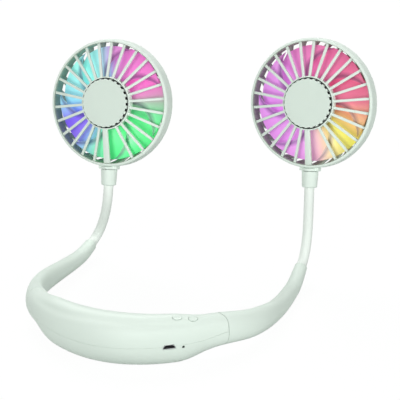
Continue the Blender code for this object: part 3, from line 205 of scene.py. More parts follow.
class SocketSizes(bpy.types.PropertyGroup):
    """Sizes of the charging socket, the indicator and the buttons."""

    station: length("Station", "Distance of the board's middle from the middle of the housing", 0.0440)
    along: length("Along", "Place of the socket along the board", -0.0093)
    height: length("Height", "Height of the socket's middle above the table", 0.0143)
    widths: lengths("Widths", "Width of the metal shell at its top and at its bottom", (0.0054, 0.0075))
    tall: length("Tall", "Height of the metal shell", 0.0027)
    metal: length("Metal", "Thickness of the metal shell", 0.0003)
    cavity: length("Cavity", "Depth of the cavity", 0.0035)
    tongue: lengths("Tongue", "Width, thickness and setback of the tongue", (0.0040, 0.0007, 0.0005))
    clearance: length("Clearance", "Gap around the socket, the indicator and the buttons", 0.00025)
    indicator: lengths("Indicator", "Place of the indicator along the board and its height",
                       (-0.0010, 0.0132))
    indicator_radius: length("Indicator radius", "Radius of the indicator", 0.00075)
    button: lengths("Button", "Length and width of a button", (0.0054, 0.0030))


class FinishColours(bpy.types.PropertyGroup):
    """Colours of the finishes."""

    shell: swatch("Shell", "Satin ABS of the shells and heads", "E5F1E8")
    sleeve: swatch("Sleeve", "Silicone of the arms", "E5F1E8")
    # The necks' colour is paler than the arms' as painted light
    neck: swatch("Neck", "Silicone of the necks", "F1F8F2")
    cap: swatch("Cap", "Satin ABS of the scent cap", "E6F3E9")
    # The inside colour is painted shade: a greyer ABS where the barrels lie in shade behind the grille
    inside: swatch("Inside", "ABS inside the barrels", "ABB8AA")
    # The dark colour is also painted shade in the cap's slots and in the ring around the cap
    dark: swatch("Dark", "Dark mouldings", "15171A")
    metal: swatch("Metal", "Bright plated steel", "C9CBCD")
    # Painted shadow along the blade edges, where the blades overlap
    blade_edge: swatch("Blade edge", "Shade of the blade edges", "9C8FA8")
    motor: swatch("Motor", "Drawn aluminium of the motors and the battery", "B4B8BC")
    board: swatch("Board", "Solder resist of the main board", "1E5A34")
    light_board: swatch("Light board", "Solder resist of the boards with the lights", "E6E7E4")
    felt: swatch("Felt", "Felt of the scent pads", "EDE9DC")
    lead: swatch("Lead", "Insulation of the motor leads", "6E7071")
    lens: swatch("Lens", "Acrylic of the indicator", "39443E")
    left_glow: swatch("Left glow", "Clock hours and colours of the left impeller",
                      "11.7 B8B4DE, 12.0 D890D0, 12.8 E87CCC, 14.2 EA7CC8, 14.6 D494BC, 14.9 A4C0AA, "
                      "15.4 6CDE96, 16.1 52EA88, 18 5CEC94, 18.6 84DEB8, 19.1 90C0E0, 19.6 8E74E8, "
                      "20.2 7E5EE8, 20.6 98B0F0, 21.0 9CDCEC, 22.4 A2F2E8, 23.3 A4E8EA")
    right_glow: swatch("Right glow", "Clock hours and colours of the right impeller",
                       "12.1 E27AAE, 13.5 DC6A94, 14.8 DE7492, 15.2 E69A88, 15.8 E8C07A, 16.4 E6E060, "
                       "17 E8D88A, 17.6 ECC4C0, 18.2 E09AE0, 20 DC92E2, 22.4 DC94DC, 23.2 E082C4")


class StageSettings(bpy.types.PropertyGroup):
    """Camera and light."""

    look_at: lengths("Look at", "Point in the middle of the picture", (0.0280, 0.0797, 0.0715))
    distance: length("Distance", "Distance of the camera from that point", 1.428)
    azimuth: degrees("Azimuth", "Camera's turn to the right of the housing", 25.6)
    elevation: degrees("Elevation", "Camera's height as an angle", 24.5)
    roll: degrees("Roll", "Camera's roll", -4.3)
    lens: FloatProperty(name="Lens", description="Focal length in millimetres", default=214.2)
    front_lamp: numbers("Front lamp", LAMP_WORDS, (29.0, -2, 14, 2.4, 1.1))
    side_lamp: numbers("Side lamp", LAMP_WORDS, (25.0, 84, 16, 2.4, 1.0))
    rear_lamp: numbers("Rear lamp", LAMP_WORDS, (40.0, -146, 48, 2.4, 1.4))
    broad_light: numbers("Broad light", "Strength behind and in front, turn and height of its middle",
                         (0.07, 0.48, 4, 18))


def settings(group):
    """The sizes, the colours or the stage settings that a user may change."""
    return getattr(bpy.context.scene, "fan_" + group)


# Curves of the band and the necks

def spread(start, end, count):
    """Evenly spaced values from start to end."""
    return [start + (end - start) * k / (count - 1) for k in range(count)]


def around(count):
    """Evenly spaced angles of a whole turn."""
    return [2 * math.pi * k / count for k in range(count)]


def smoothstep(share):
    """Ease a share from 0 to 1."""
    share = max(0, min(1, share))
    return share * share * (3 - 2 * share)


def hermite(share, start, end, leave, arrive):
    """Point of the cubic between two points, with its slopes at both."""
    square, cube = share ** 2, share ** 3
    return (start * (2 * cube - 3 * square + 1) + end * (3 * square - 2 * cube)
            + leave * (cube - 2 * square + share) + arrive * (cube - square))


def interval(knots, station):
    """Number of the stretch between knots that holds a station."""
    return int(np.clip(np.searchsorted(knots, station) - 1, 0, len(knots) - 2))


def natural_spline(knots, values):
    """The natural cubic through the values at the knots, as a function of the knot value."""
    knots, values = np.array(knots), np.array(values)
    steps = np.diff(knots)
    last = len(knots) - 1
    system = np.eye(last + 1)
    pull = np.zeros(values.shape)
    for i in range(1, last):
        system[i, i - 1:i + 2] = steps[i - 1], 2 * (steps[i - 1] + steps[i]), steps[i]
        rise_after = (values[i + 1] - values[i]) / steps[i]
        rise_before = (values[i] - values[i - 1]) / steps[i - 1]
        pull[i] = 6 * (rise_after - rise_before)
    bend = np.linalg.solve(system, pull)

    def at(station):
        i = interval(knots, station)
        after = (station - knots[i]) / steps[i]
        before = 1 - after
        curve = (before ** 3 - before) * bend[i] + (after ** 3 - after) * bend[i + 1]
        return before * values[i] + after * values[i + 1] + curve * steps[i] ** 2 / 6

    return at


def eased_table(knots, rows):
    """A smooth curve through the rows that never swings past them."""
    knots, rows = np.array(knots), np.array(rows)
    steps = np.diff(knots)[:, None]
    rises = np.diff(rows, axis=0) / steps
    slopes = np.zeros(rows.shape)
    for i in range(1, len(knots) - 1):
        before, after = rises[i - 1], rises[i]
        level = before * after <= 0
        weight_before = 2 * steps[i] + steps[i - 1]
        weight_after = steps[i] + 2 * steps[i - 1]
        safe_before = np.where(level, 1, before)
        safe_after = np.where(level, 1, after)
        mean = (weight_before + weight_after) / (weight_before / safe_before + weight_after / safe_after)
        slopes[i] = np.where(level, 0, mean)
    for end, near in ((0, 1), (-1, -2)):
        outer, inner = steps[end], steps[near]
        slopes[end] = ((2 * outer + inner) * rises[end] - outer * rises[near]) / (outer + inner)

    def at(station):
        i = interval(knots, station)
        step = steps[i]
        share = (station - knots[i]) / step
        return hermite(share, rows[i], rows[i + 1], slopes[i] * step, slopes[i + 1] * step)

    return at


# Angle on the section that the hollow follows in the middle and at the cheeks, and its half width
CREASE_MIDDLE = math.radians(62)
CREASE_CHEEK = math.radians(50)
CREASE_SPREAD = math.radians(12)

# Half of the short length over which a direction is measured
PROBE = MM / 20


class BandShape:
    """Centre line and surface of the housing and the arms."""

    def __init__(self):
        sizes = self.sizes = settings("band")
        keys = [(0, 0), tuple(sizes.shoulder), tuple(sizes.arm_root), tuple(sizes.arm_front),
                tuple(sizes.arm_end)]
        stations = [0]
        for here, there in zip(keys, keys[1:]):
            stations.append(stations[-1] + math.dist(here, there))
        self.end = stations[-1]
        sections = [sizes.middle_section, sizes.cheek_section, sizes.shoulder_section, sizes.root_section,
                    sizes.front_section, sizes.end_section]
        rows = [(lift + height / 2, height, thickness) for lift, height, thickness in sections]
        places, points = self.both_ways(stations, keys, lambda key: (-key[0], key[1]))
        points[0] = (points[0][0], points[0][1] - sizes.left_end[0])
        self.plan = natural_spline(places, points)
        places, rows = self.both_ways([0, sizes.cheek_station] + stations[1:], rows, lambda row: row)
        raised, slimmer = sizes.left_front
        rows[0] = (rows[0][0] - sizes.left_end[1], *rows[0][1:])
        rows[1] = (rows[1][0] + raised, rows[1][1] - slimmer, rows[1][2])
        self.section = eased_table(places, rows)

    @staticmethod
    def both_ways(stations, rows, mirror):
        """Extend a table of the right half to the left half."""
        left = [mirror(row) for row in rows[:0:-1]]
        return [-station for station in stations[:0:-1]] + list(stations), left + list(rows)

    def centre(self, station):
        """Point of the centre line."""
        x, y = self.plan(station)
        return Vector((x, y, self.section(station)[0]))

    def frame(self, station):
        """Centre, direction, outward and upward directions."""
        along = (self.centre(station + PROBE) - self.centre(station - PROBE)).normalized()
        outward = along.cross(UP).normalized()
        upward = outward.cross(along)
        begun, ended = (smoothstep((abs(station) - start) / (full - start))
                        for start, full in (self.sizes.tilt_start, self.sizes.tilt_end))
        tilt = self.sizes.tilt * (begun - ended)
        across, rise = math.cos(tilt), math.sin(tilt)
        return self.centre(station), along, outward * across + upward * rise, upward * across - outward * rise

    def crease(self, station, angle):
        """Depth of the soft hollow that runs along the outside of the housing."""
        far = smoothstep(abs(station) / self.sizes.cheek_station)
        line = CREASE_MIDDLE + (CREASE_CHEEK - CREASE_MIDDLE) * far
        fade = 1 - smoothstep(abs(station) / self.sizes.crease_reach * 2 - 1)
        return self.sizes.crease_depth * fade * math.exp(-((angle - line) / CREASE_SPREAD) ** 2)

    def point(self, station, angle, inset=0):
        """Point on the surface, or inside it by the inset."""
        centre, _, outward, upward = self.frame(station)
        _, height, thickness = self.section(station)
        if not inset:
            inset = self.crease(station, angle)
        power = 2 / self.sizes.squareness
        across, rise = math.cos(angle), math.sin(angle)
        across = math.copysign(abs(across) ** power, across)
        rise = math.copysign(abs(rise) ** power, rise)
        place = centre + outward * (thickness / 2 - inset) * across + upward * (height / 2 - inset) * rise
        place.z = max(place.z, 0)
        return place

    def level_angle(self, station, level, inset=0):
        """Angle at which the section crosses a level."""
        centre, _, _, upward = self.frame(station)
        share = (level - centre.z) / (upward.z * (self.section(station)[1] / 2 - inset))
        share = max(-1, min(1, share))
        return math.asin(math.copysign(abs(share) ** (self.sizes.squareness / 2), share))

    def leaning(self, station, angle):
        """Station shifted so that the arm's seam runs towards the housing at its top and bottom."""
        near = smoothstep(1 - abs(abs(station) - self.sizes.seam_station) / self.sizes.seam_blend)
        rise = math.sin(angle)
        lean = self.sizes.seam_lean[0 if rise > 0 else 1] * rise ** 4 * near
        return station - math.copysign(lean, station)


NECK_LINE_POINTS = 121


def neck_line(side):
    """Centre line of a neck by distance, and its whole length."""
    shape = BandShape()
    sign = SIDES[side]
    swing = settings("neck").swing
    start, along, _, _ = shape.frame(sign * shape.end)
    swivel = JOINTS["head_%s_swivel" % side]
    foot, arrive = Vector(swivel["pos_m"]), Vector(swivel["axis"]).normalized() * swing
    leave = along * sign * swing
    points = [hermite(share, start, foot, leave, arrive) for share in spread(0, 1, NECK_LINE_POINTS)]
    places = [0]
    for here, there in zip(points, points[1:]):
        places.append(places[-1] + (there - here).length)
    line = natural_spline(places, [tuple(point) for point in points])
    return lambda place: Vector(line(place)), places[-1]


def head_matrix(side):
    """Axes of a head, X to the viewer's right, Y up and Z forward, from the middle of its front rim."""
    up = Vector(JOINTS["head_%s_swivel" % side]["axis"]).normalized()
    spin = JOINTS["impeller_%s_spin" % side]
    forward = Vector(spin["axis"]).normalized()
    matrix = Matrix((up.cross(forward), up, forward)).transposed().to_4x4()
    matrix.translation = Vector(spin["pos_m"])
    return matrix


# Mesh tools

# Angle in degrees past which an edge is rounded or drawn sharp, and steps of a turned shape
SHARP = 35
TURN_STEPS = 96


def sweep(rings):
    """Closed skin over a row of rings that have as many points as each other."""
    bm = bmesh.new()
    order = bm.verts.layers.int.new("order")
    bmesh.ops.create_circle(bm, segments=len(rings[0]), radius=MM)
    bm.verts.ensure_lookup_table()
    for i, vert in enumerate(bm.verts):
        vert[order] = i
        vert.co = rings[0][i]
    edges = bm.edges[:]
    first = edges
    for ring in rings[1:]:
        made = bmesh.ops.extrude_edge_only(bm, edges=edges)["geom"]
        fresh = {item for item in made if isinstance(item, bmesh.types.BMVert)}
        for vert in fresh:
            vert.co = ring[vert[order]]
        edges = [item for item in made if isinstance(item, bmesh.types.BMEdge)
                 and item.verts[0] in fresh and item.verts[1] in fresh]
    for ends in (first, edges):
        bmesh.ops.edgeloop_fill(bm, edges=ends)
    bmesh.ops.recalc_face_normals(bm, faces=bm.faces)
    return bm


def round_edges(bm, width, above=SHARP, segments=3):
    """Round the edges whose faces meet at more than an angle in degrees."""
    sharp = [edge for edge in bm.edges if edge.is_manifold and edge.calc_face_angle() > math.radians(above)]
    bmesh.ops.bevel(bm, geom=sharp, offset=width, segments=segments, profile=0.5, affect="EDGES", material=-1,
                    clamp_overlap=True)
    return bm


def turned(profile, steps=TURN_STEPS, closed=True):
    """Turn a profile of radius and height about the Z axis; an open one gets a flat face at each end."""
    bm = bmesh.new()
    verts = [bm.verts.new((radius, 0, height)) for radius, height in profile]
    edges = [bm.edges.new(pair) for pair in zip(verts, verts[1:] + verts[:1] if closed else verts[1:])]
    bmesh.ops.spin(bm, geom=verts + edges, axis=UP, cent=(0, 0, 0), angle=2 * math.pi, steps=steps,
                   use_merge=True)
    if not closed:
        bmesh.ops.holes_fill(bm, edges=[edge for edge in bm.edges if edge.is_boundary], sides=0)
    bmesh.ops.recalc_face_normals(bm, faces=bm.faces)
    return bm


def bar(start, end, side_way, widths, depth, rounding):
    """A bar with rounded edges between two points; its width may change from one end to the other."""
    bm = bmesh.new()
    along = end - start
    across = side_way.normalized()
    down = along.normalized().cross(across)
    bmesh.ops.create_cube(bm, size=1)
    for vert in bm.verts:
        share = vert.co.y + 0.5
        width = widths[0] + (widths[1] - widths[0]) * share
        vert.co = start + along * share + across * vert.co.x * width + down * (vert.co.z - 0.5) * depth
    bmesh.ops.recalc_face_normals(bm, faces=bm.faces)
    return round_edges(bm, rounding, segments=2)


def as_mesh(name, bm):
    """Turn a bmesh into a mesh."""
    mesh = bpy.data.meshes.new(name)
    bm.to_mesh(mesh)
    bm.free()
    return mesh


def add_object(name, data):
    """Put a mesh, a light or a camera into the scene."""
    item = bpy.data.objects.new(name, data)
    bpy.context.scene.collection.objects.link(item)
    return item


def shade(mesh, sharp=SHARP):
    """Shade a mesh smoothly between its sharp edges."""
    mesh.shade_smooth()
    mesh.set_sharp_from_angle(angle=math.radians(sharp))


def join(target, *others):
    """Add other meshes to a mesh."""
    for other in others:
        mesh = as_mesh("joined", other)
        target.from_mesh(mesh)
        bpy.data.meshes.remove(mesh)
    return target


def make_piece(name, bm, body, materials, replaces=(), matrix=None, sharp=SHARP):
    """Turn a bmesh into a finished piece that rides on a body."""
    if matrix:
        bmesh.ops.transform(bm, verts=bm.verts, matrix=matrix)
    piece = add_object(name, as_mesh(name, bm))
    shade(piece.data, sharp)
    for material in materials:
        piece.data.materials.append(bpy.data.materials[material])
    if body:
        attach(piece, body)
    if replaces:
        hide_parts(*replaces)
    return piece


def cut(piece, cutters):
    """Cut closed shapes out of a piece and keep the result as its mesh."""
    for bm in cutters:
        tool = add_object("cutter", as_mesh("cutter", bm))
        modifier = piece.modifiers.new("cut", "BOOLEAN")
        modifier.operation = "DIFFERENCE"
        modifier.solver = "EXACT"
        modifier.object = tool
        bpy.context.view_layer.update()
        result = bpy.data.meshes.new_from_object(piece.evaluated_get(bpy.context.evaluated_depsgraph_get()))
        piece.modifiers.remove(modifier)
        piece.data = result
        bpy.data.objects.remove(tool, do_unlink=True)
    shade(piece.data)


# Materials

# Size of the cloudy change of colour, and depth of the mould's grain and its change of roughness
CLOUD_SIZE = 28 * MM
GRAIN_DEPTH = 0.05 * MM
GRAIN_ROUGHNESS = 0.04

# Pitch and stretch of drawing marks, and how far they lower and raise the roughness
MARK_SIZE = 1.2 * MM
MARK_STRETCH = (1, 1, 12)
MARK_ROUGHNESS = (0.06, 0.08)


def linear(value):
    """Linear colour of an sRGB hex value."""
    channels = [int(value[k:k + 2], 16) / 255 for k in (0, 2, 4)]
    return (*[c / 12.92 if c <= 0.04045 else ((c + 0.055) / 1.055) ** 2.4 for c in channels], 1)


def set_up(tree, node, values=(), links=()):
    """Set a node's properties and sockets, and link its sockets to the outputs of other nodes."""
    for key, value in dict(values).items():
        if isinstance(key, int) or key in node.inputs:
            node.inputs[key].default_value = value
        else:
            setattr(node, key, value)
    for key, source in dict(links).items():
        tree.links.new(source, node.inputs[key])
    return node


def add_node(tree, kind, values=(), links=()):
    """Add a node, then set it up."""
    return set_up(tree, tree.nodes.new(kind), values, links)


def new_material(name):
    """Node tree, Principled shader and object coordinates of a new material."""
    material = bpy.data.materials.new(name)
    material.use_nodes = True
    tree = material.node_tree
    return tree, tree.nodes["Principled BSDF"], add_node(tree, "ShaderNodeTexCoord").outputs["Object"]


def add_noise(tree, size, detail, place):
    """Noise of a real size, as a value."""
    noise = add_node(tree, "ShaderNodeTexNoise", {"Scale": 1 / size, "Detail": detail}, {"Vector": place})
    return noise.outputs["Fac"]


def add_range(tree, low, high, value):
    """A value from 0 to 1 stretched to run from low to high."""
    stretched = add_node(tree, "ShaderNodeMapRange", {"To Min": low, "To Max": high}, {"Value": value})
    return stretched.outputs["Result"]


def moulded_material(name, base, roughness, grain, bump, tint=0.03, coat=0.0, sheen=0.0, gloss=0.5):
    """Moulded plastic or rubber: a fine grain from the mould, and a faint cloudy change of colour."""
    tree, shader, place = new_material(name)
    colour = linear(base)
    darker = (*[channel * (1 - tint) for channel in colour[:3]], 1)
    cloud = add_noise(tree, CLOUD_SIZE, 2.0, place)
    tone = add_node(tree, "ShaderNodeMix", {"data_type": "RGBA", 6: darker, 7: colour}, {0: cloud})
    fine = add_noise(tree, grain, 3.0, place)
    relief = add_node(tree, "ShaderNodeBump", {"Strength": bump, "Distance": GRAIN_DEPTH}, {"Height": fine})
    set_up(tree, shader, {"IOR": 1.5, "Specular IOR Level": gloss, "Coat Weight": coat,
                          "Coat Roughness": 0.25, "Sheen Weight": sheen},
           {"Base Color": tone.outputs[2], "Normal": relief.outputs["Normal"],
            "Roughness": add_range(tree, roughness - GRAIN_ROUGHNESS, roughness + GRAIN_ROUGHNESS, fine)})


def metal_material(name, base, roughness):
    """Plated or drawn metal with fine drawing marks."""
    tree, shader, place = new_material(name)
    stretch = add_node(tree, "ShaderNodeMapping", {"Scale": MARK_STRETCH}, {"Vector": place})
    marks = add_noise(tree, MARK_SIZE, 2.0, stretch.outputs["Vector"])
    low, high = roughness - MARK_ROUGHNESS[0], roughness + MARK_ROUGHNESS[1]
    set_up(tree, shader, {"Base Color": linear(base), "Metallic": 1.0},
           {"Roughness": add_range(tree, low, high, marks)})


def glow_stops(words):
    """Ramp places and colours from a list of clock hours and hex values."""
    stops = []
    for item in words.split(","):
        hour, value = item.split()
        # The ramp begins at 9 o'clock and runs against the clock
        stops.append(((0.75 - float(hour) / 12) % 1, linear(value)))
    return sorted(stops)


def blade_material(side):
    """Frosted polycarbonate lit from behind: each hour has its own colour, with painted shadow at the blade
    edges.
    """
    name = "frosted_polycarbonate_" + side
    tree, shader, place = new_material(name)
    matrix = head_matrix(side)
    turn = add_node(tree, "ShaderNodeMapping", {"vector_type": "TEXTURE", "Location": matrix.translation,
                                                "Rotation": matrix.to_euler()}, {"Vector": place})
    hour = add_node(tree, "ShaderNodeTexGradient", {"gradient_type": "RADIAL"},
                    {"Vector": turn.outputs["Vector"]})
    ramp = add_node(tree, "ShaderNodeValToRGB", links={"Fac": hour.outputs["Fac"]})
    stops = glow_stops(getattr(settings("colours"), side + "_glow"))
    elements = ramp.color_ramp.elements
    for end in (0, 1):
        elements[end].position, elements[end].color = end, stops[0][1]
    for where, colour in stops:
        elements.new(where).color = colour
    # Painted shadow: the colour is darkened along the blade edges
    edge = add_node(tree, "ShaderNodeAttribute", {"attribute_name": "blade_edge"})
    lit = add_node(tree, "ShaderNodeMix", {"data_type": "RGBA", "blend_type": "MULTIPLY",
                                           7: linear(settings("colours").blade_edge)},
                   {0: edge.outputs["Fac"], 6: ramp.outputs["Color"]}).outputs[2]
    set_up(tree, shader, {"Emission Strength": 0.32, "Roughness": 0.35, "IOR": 1.58},
           {"Base Color": lit, "Emission Color": lit})
    return name


def build_materials():
    """All the finishes that several pieces share."""
    c = settings("colours")
    # Moulded ABS: a satin skin with an even, very fine spark texture and soft broad highlights
    moulded_material("moulded_abs", c.shell, roughness=0.48, grain=0.35 * MM, bump=0.10, gloss=0.2)
    # The cap's ABS: the same skin, a hair paler and with a little more grain
    moulded_material("moulded_abs_cap", c.cap, roughness=0.48, grain=0.35 * MM, bump=0.12, gloss=0.2)
    # The same plastic inside the barrels, unpolished, and greyer as painted shade behind the grille
    moulded_material("moulded_abs_inside", c.inside, roughness=0.65, grain=0.35 * MM, bump=0.15, gloss=0.1)
    # Silicone rubber: softer, duller highlights than the plastic
    moulded_material("silicone_rubber", c.sleeve, roughness=0.58, grain=0.5 * MM, bump=0.08, gloss=0.18)
    # The necks' silicone: paler than the arms' as painted light on the thinner necks, with a slightly clearer
    # highlight along the tube
    moulded_material("silicone_rubber_neck", c.neck, roughness=0.55, grain=0.5 * MM, bump=0.08, gloss=0.18)
    # Glass-filled nylon: black, dull and slightly grainy; the same black is painted shade in the cap's slots
    # and in the ring around the cap
    moulded_material("moulded_nylon", c.dark, roughness=0.5, grain=0.3 * MM, bump=0.2, tint=0.2)
    # Plated steel: bright, with small clear reflections
    metal_material("plated_steel", c.metal, roughness=0.25)
    # Drawn aluminium: greyer than the plating, with reflections that blur along the drawing marks
    metal_material("drawn_aluminium", c.motor, roughness=0.32)
    # Glass-epoxy board under solder resist: smooth and slightly glossy, green or white
    boards = {"green_solder_resist": (c.board, 0.15), "white_solder_resist": (c.light_board, 0.03)}
    for name, (base, tint) in boards.items():
        moulded_material(name, base, roughness=0.35, grain=0.6 * MM, bump=0.05, tint=tint, coat=0.3)
    # Wool felt: no shine, fibres a quarter of a millimetre apart
    moulded_material("wool_felt", c.felt, roughness=0.95, grain=0.25 * MM, bump=0.9, tint=0.1, sheen=0.4)
    # PVC insulation: even grey with a soft highlight along the lead
    moulded_material("pvc_insulation", c.lead, roughness=0.5, grain=0.4 * MM, bump=0.05)
    # Clear acrylic over an unlit lamp: dark and glossy
    moulded_material("smoked_acrylic", c.lens, roughness=0.15, grain=0.8 * MM, bump=0.02, coat=0.5)


CAD_FINISHES = {
    "shell_screw": "plated_steel",
    "battery_cell": "drawn_aluminium",
    "main_board": "green_solder_resist",
    "speed_switch": "moulded_nylon",
    "light_switch": "moulded_nylon",
    "motor_lead": "pvc_insulation",
    "motor_shaft": "plated_steel",
    "motor_left": "drawn_aluminium",
    "motor_right": "drawn_aluminium",
    "light_ring": "white_solder_resist",
    "scent_pad": "wool_felt",
}


# Pieces

# Points around the outside and the inside of a shell, and sections along the housing
SHELL_POINTS = (45, 17)
HOUSING_SECTIONS = 121

# Points around an arm, sections along it and sections of its rounded end
ARM_POINTS = 64
ARM_SECTIONS = 90
ARM_END_SECTIONS = 6

# Points around a sleeve and sections along it, and places tried to find where a joint is
NECK_POINTS = 40
NECK_SECTIONS = 32
NECK_TRIES = 200

# Steps of the rims, and of the collars with what turns in them
RIM_STEPS = 128
COLLAR_STEPS = 64

# Sections of a rib on the barrel's shoulder and of one on the rear guard, and points of a rounded corner
SHOULDER_SECTIONS = 13
GUARD_SECTIONS = 11
RIM_ARC_POINTS = 8
CAP_ARC_POINTS = 5

# Gaps, roundings and margins that several pieces share
HAIRLINE = 0.05 * MM
FOOT_ROUNDING = 0.2 * MM
FINE_ROUNDING = 0.25 * MM
EDGE_ROUNDING = 0.3 * MM
SADDLE_ROUNDING = 0.4 * MM
FOOT_GAP = 0.15 * MM
SKIN_MARGIN = 0.4 * MM

# Shares of the rear disc's radius outside which its back is flat and inside which it is dished, and how deep
FLAT_SHARE = 0.66
DISH_SHARE = 0.62
DISH_DEPTH = 0.5 * MM


def housing_ring(shape, station, name):
    """Section of one shell: its outer arc, then its inner arc back."""
    sizes = shape.sizes
    way = 1 if name == "upper" else -1
    level = sizes.parting_height + way * sizes.parting_gap / 2
    arcs = []
    for inset, points in zip((0, sizes.wall), SHELL_POINTS):
        low = shape.level_angle(station, level, inset)
        arcs.append([shape.point(shape.leaning(station, angle), angle, inset)
                     for angle in spread(low, way * math.pi - low, points)])
    return arcs[0] + arcs[1][::-1]


def oval(centre, along, across, size, points=48):
    """Points of an oval about a centre."""
    return [centre + along * math.cos(turn) * size[0] / 2 + across * math.sin(turn) * size[1] / 2
            for turn in around(points)]


def skin_frame(shape, station, angle):
    """Place, direction, downhill direction and normal of the housing's skin."""
    step, tip = MM / 2, 0.05
    place = shape.point(station, angle)
    along = (shape.point(station + step, angle) - shape.point(station - step, angle)).normalized()
    down = (shape.point(station, angle - tip) - shape.point(station, angle + tip)).normalized()
    normal = along.cross(down).normalized()
    if normal.dot(place - shape.centre(station)) < 0:
        normal = -normal
    return place, along, down, normal


def build_housing():
    """Both shells, without the openings for the controls."""
    shape = BandShape()
    edge = shape.sizes.seam_station - shape.sizes.seam_gap / 2
    for name in ("upper", "lower"):
        rings = [housing_ring(shape, station, name) for station in spread(-edge, edge, HOUSING_SECTIONS)]
        make_piece("housing_" + name, sweep(rings), "band", ["moulded_abs"], ["housing_%s_shell" % name])


def build_arm(side):
    """One arm as a smooth tapering sleeve with a rounded front edge."""
    shape = BandShape()
    rounding = shape.sizes.end_rounding
    sign = SIDES[side]
    turns = around(ARM_POINTS)
    edge = shape.sizes.seam_station + shape.sizes.seam_gap / 2
    rings = []
    for station in spread(edge, shape.end - rounding, ARM_SECTIONS):
        rings.append([shape.point(shape.leaning(sign * station, turn), turn) for turn in turns])
    for angle in spread(0, math.pi / 2, ARM_END_SECTIONS)[1:]:
        station = shape.end - rounding * (1 - math.sin(angle))
        rings.append([shape.point(sign * station, turn, rounding * (1 - math.cos(angle))) for turn in turns])
    make_piece("sleeve_arm_" + side, sweep(rings), "band", ["silicone_rubber"], ["arm_" + side])


def build_neck(side):
    """Sleeve of a flexible neck, in three lengths that each hold one joint."""
    line, whole = neck_line(side)
    sizes = settings("neck")
    hinges = [Vector(JOINTS["neck_%s_%s" % (side, part)]["pos_m"]) for part in ("pitch_1", "roll", "pitch_2")]
    joints = [min(spread(0, whole, NECK_TRIES), key=lambda place: (line(place) - hinge).length)
              for hinge in hinges]
    cuts = [-sizes.tuck, (joints[0] + joints[1]) / 2, (joints[1] + joints[2]) / 2, whole + sizes.tuck]
    girth = (2 * sizes.radius, 2 * sizes.radius)
    for number, (low, high) in enumerate(zip(cuts, cuts[1:])):
        rings = []
        for place in spread(low, high, NECK_SECTIONS):
            along = (line(place + PROBE) - line(place - PROBE)).normalized()
            side_way = Vector((0, -1, 0)).cross(along).normalized()
            rings.append(oval(line(place), side_way, along.cross(side_way), girth, NECK_POINTS))
        # The last length of sleeve also covers the short node that stays with the collar
        nodes = ["neck_%s_%d" % (side, node) for node in ((1,), (2,), (3, 4))[number]]
        piece = make_piece("neck_sleeve_%s_%d" % (side, number + 1), sweep(rings), None,
                           ["silicone_rubber_neck"], nodes)
        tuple(line(joints[number] - sizes.bend / 2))
        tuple(line(joints[number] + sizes.bend / 2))
        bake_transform(piece)


def build_collar(side):
    """Tapered collar between neck and head."""
    s = settings("neck")
    swivel = JOINTS["head_%s_swivel" % side]
    inner = s.radius - MM / 4
    profile = ((inner, 0), (s.collar_bottom - s.collar_chamfer, 0), (s.collar_bottom, s.collar_chamfer),
               (s.collar_top, s.collar_length), (inner, s.collar_length))
    bm = round_edges(turned(profile, COLLAR_STEPS), FINE_ROUNDING)
    turn = Vector(swivel["axis"]).to_track_quat("Z", "Y").to_matrix().to_4x4()
    make_piece("collar_shell_" + side, bm, "neck_%s_upper" % side, ["moulded_abs"], ["collar_" + side],
               Matrix.Translation(Vector(swivel["pos_m"])) @ turn)


def build_front_grille(side):
    """Rim, spokes and the ring for the cap."""
    s = settings("head")
    inner, outer = s.rim_rounding
    quarter = spread(0, math.pi / 2, RIM_ARC_POINTS)
    face = [(s.opening + inner * (1 - math.cos(turn)), s.rim_forward - inner * (1 - math.sin(turn)))
            for turn in quarter]
    face += [(s.radius - outer * (1 - math.sin(turn)), s.rim_forward - outer * (1 - math.cos(turn)))
             for turn in quarter]
    rim = turned([(s.opening, -s.rim_depth), *face, (s.radius, -s.rim_depth)], RIM_STEPS)
    # The rim's inner edge gets the greyer ABS as painted shade
    mark_painted_shade(rim, s.opening + inner, 2)
    bore = s.hub_ring - s.hub_ring_wall
    cup = turned(((bore, s.hub_floor + MM), (bore, s.hub_forward), (s.hub_ring, s.hub_forward),
                  (s.hub_ring, s.hub_floor)), closed=False)
    round_edges(cup, FINE_ROUNDING)
    # Bore and floor of the ring get the black nylon as painted shade in the gap around the cap
    for face in cup.faces:
        if face.calc_center_median().to_2d().length < bore + HAIRLINE:
            face.material_index = 1
    bars = []
    for k, turn in enumerate(around(s.spokes)):
        # Counted from the bottom: the first spoke is the wide one, and the second is missing
        if k == 1:
            continue
        way = Vector((math.cos(turn - math.pi / 2), math.sin(turn - math.pi / 2), 0))
        start = way * (s.hub_ring - s.hub_ring_wall / 2) + UP * s.spoke_rise
        end = way * (s.opening + s.radius) / 2 + UP * (s.rim_forward - s.spoke_end)
        widths = s.wide_spoke if k == 0 else (s.spoke_width, s.spoke_width)
        bars.append(bar(start, end, Vector((-way.y, way.x, 0)), widths, s.spoke_depth, EDGE_ROUNDING))
    make_piece("grille_" + side, join(cup, rim, *bars), "head_" + side,
               ["moulded_abs", "moulded_nylon", "moulded_abs_inside"], ["front_grille_" + side],
               head_matrix(side))


def curved_rib(turn, swirl, places, width, depth):
    """Rib that follows places of radius and depth while it swirls about the fan's axis."""
    spine = []
    for number, (radius, behind) in enumerate(places):
        angle = turn + swirl * number / (len(places) - 1)
        spine.append(Vector((radius * math.cos(angle), radius * math.sin(angle), -behind)))
    rings = []
    for number, point in enumerate(spine):
        before, after = places[max(number - 1, 0)], places[min(number + 1, len(places) - 1)]
        run, rise = after[0] - before[0], before[1] - after[1]
        outward = point.to_2d().normalized().to_3d()
        normal = (outward * rise - UP * run).normalized() * depth / 2
        tangent = spine[min(number + 1, len(spine) - 1)] - spine[max(number - 1, 0)]
        across = normal.cross(tangent).normalized() * width / 2
        rings.append([point + across + normal, point - across + normal, point - across - normal,
                      point + across - normal])
    # The joins between the stretches bend less than this angle and stay as they are
    return round_edges(sweep(rings), FINE_ROUNDING, above=50, segments=2)


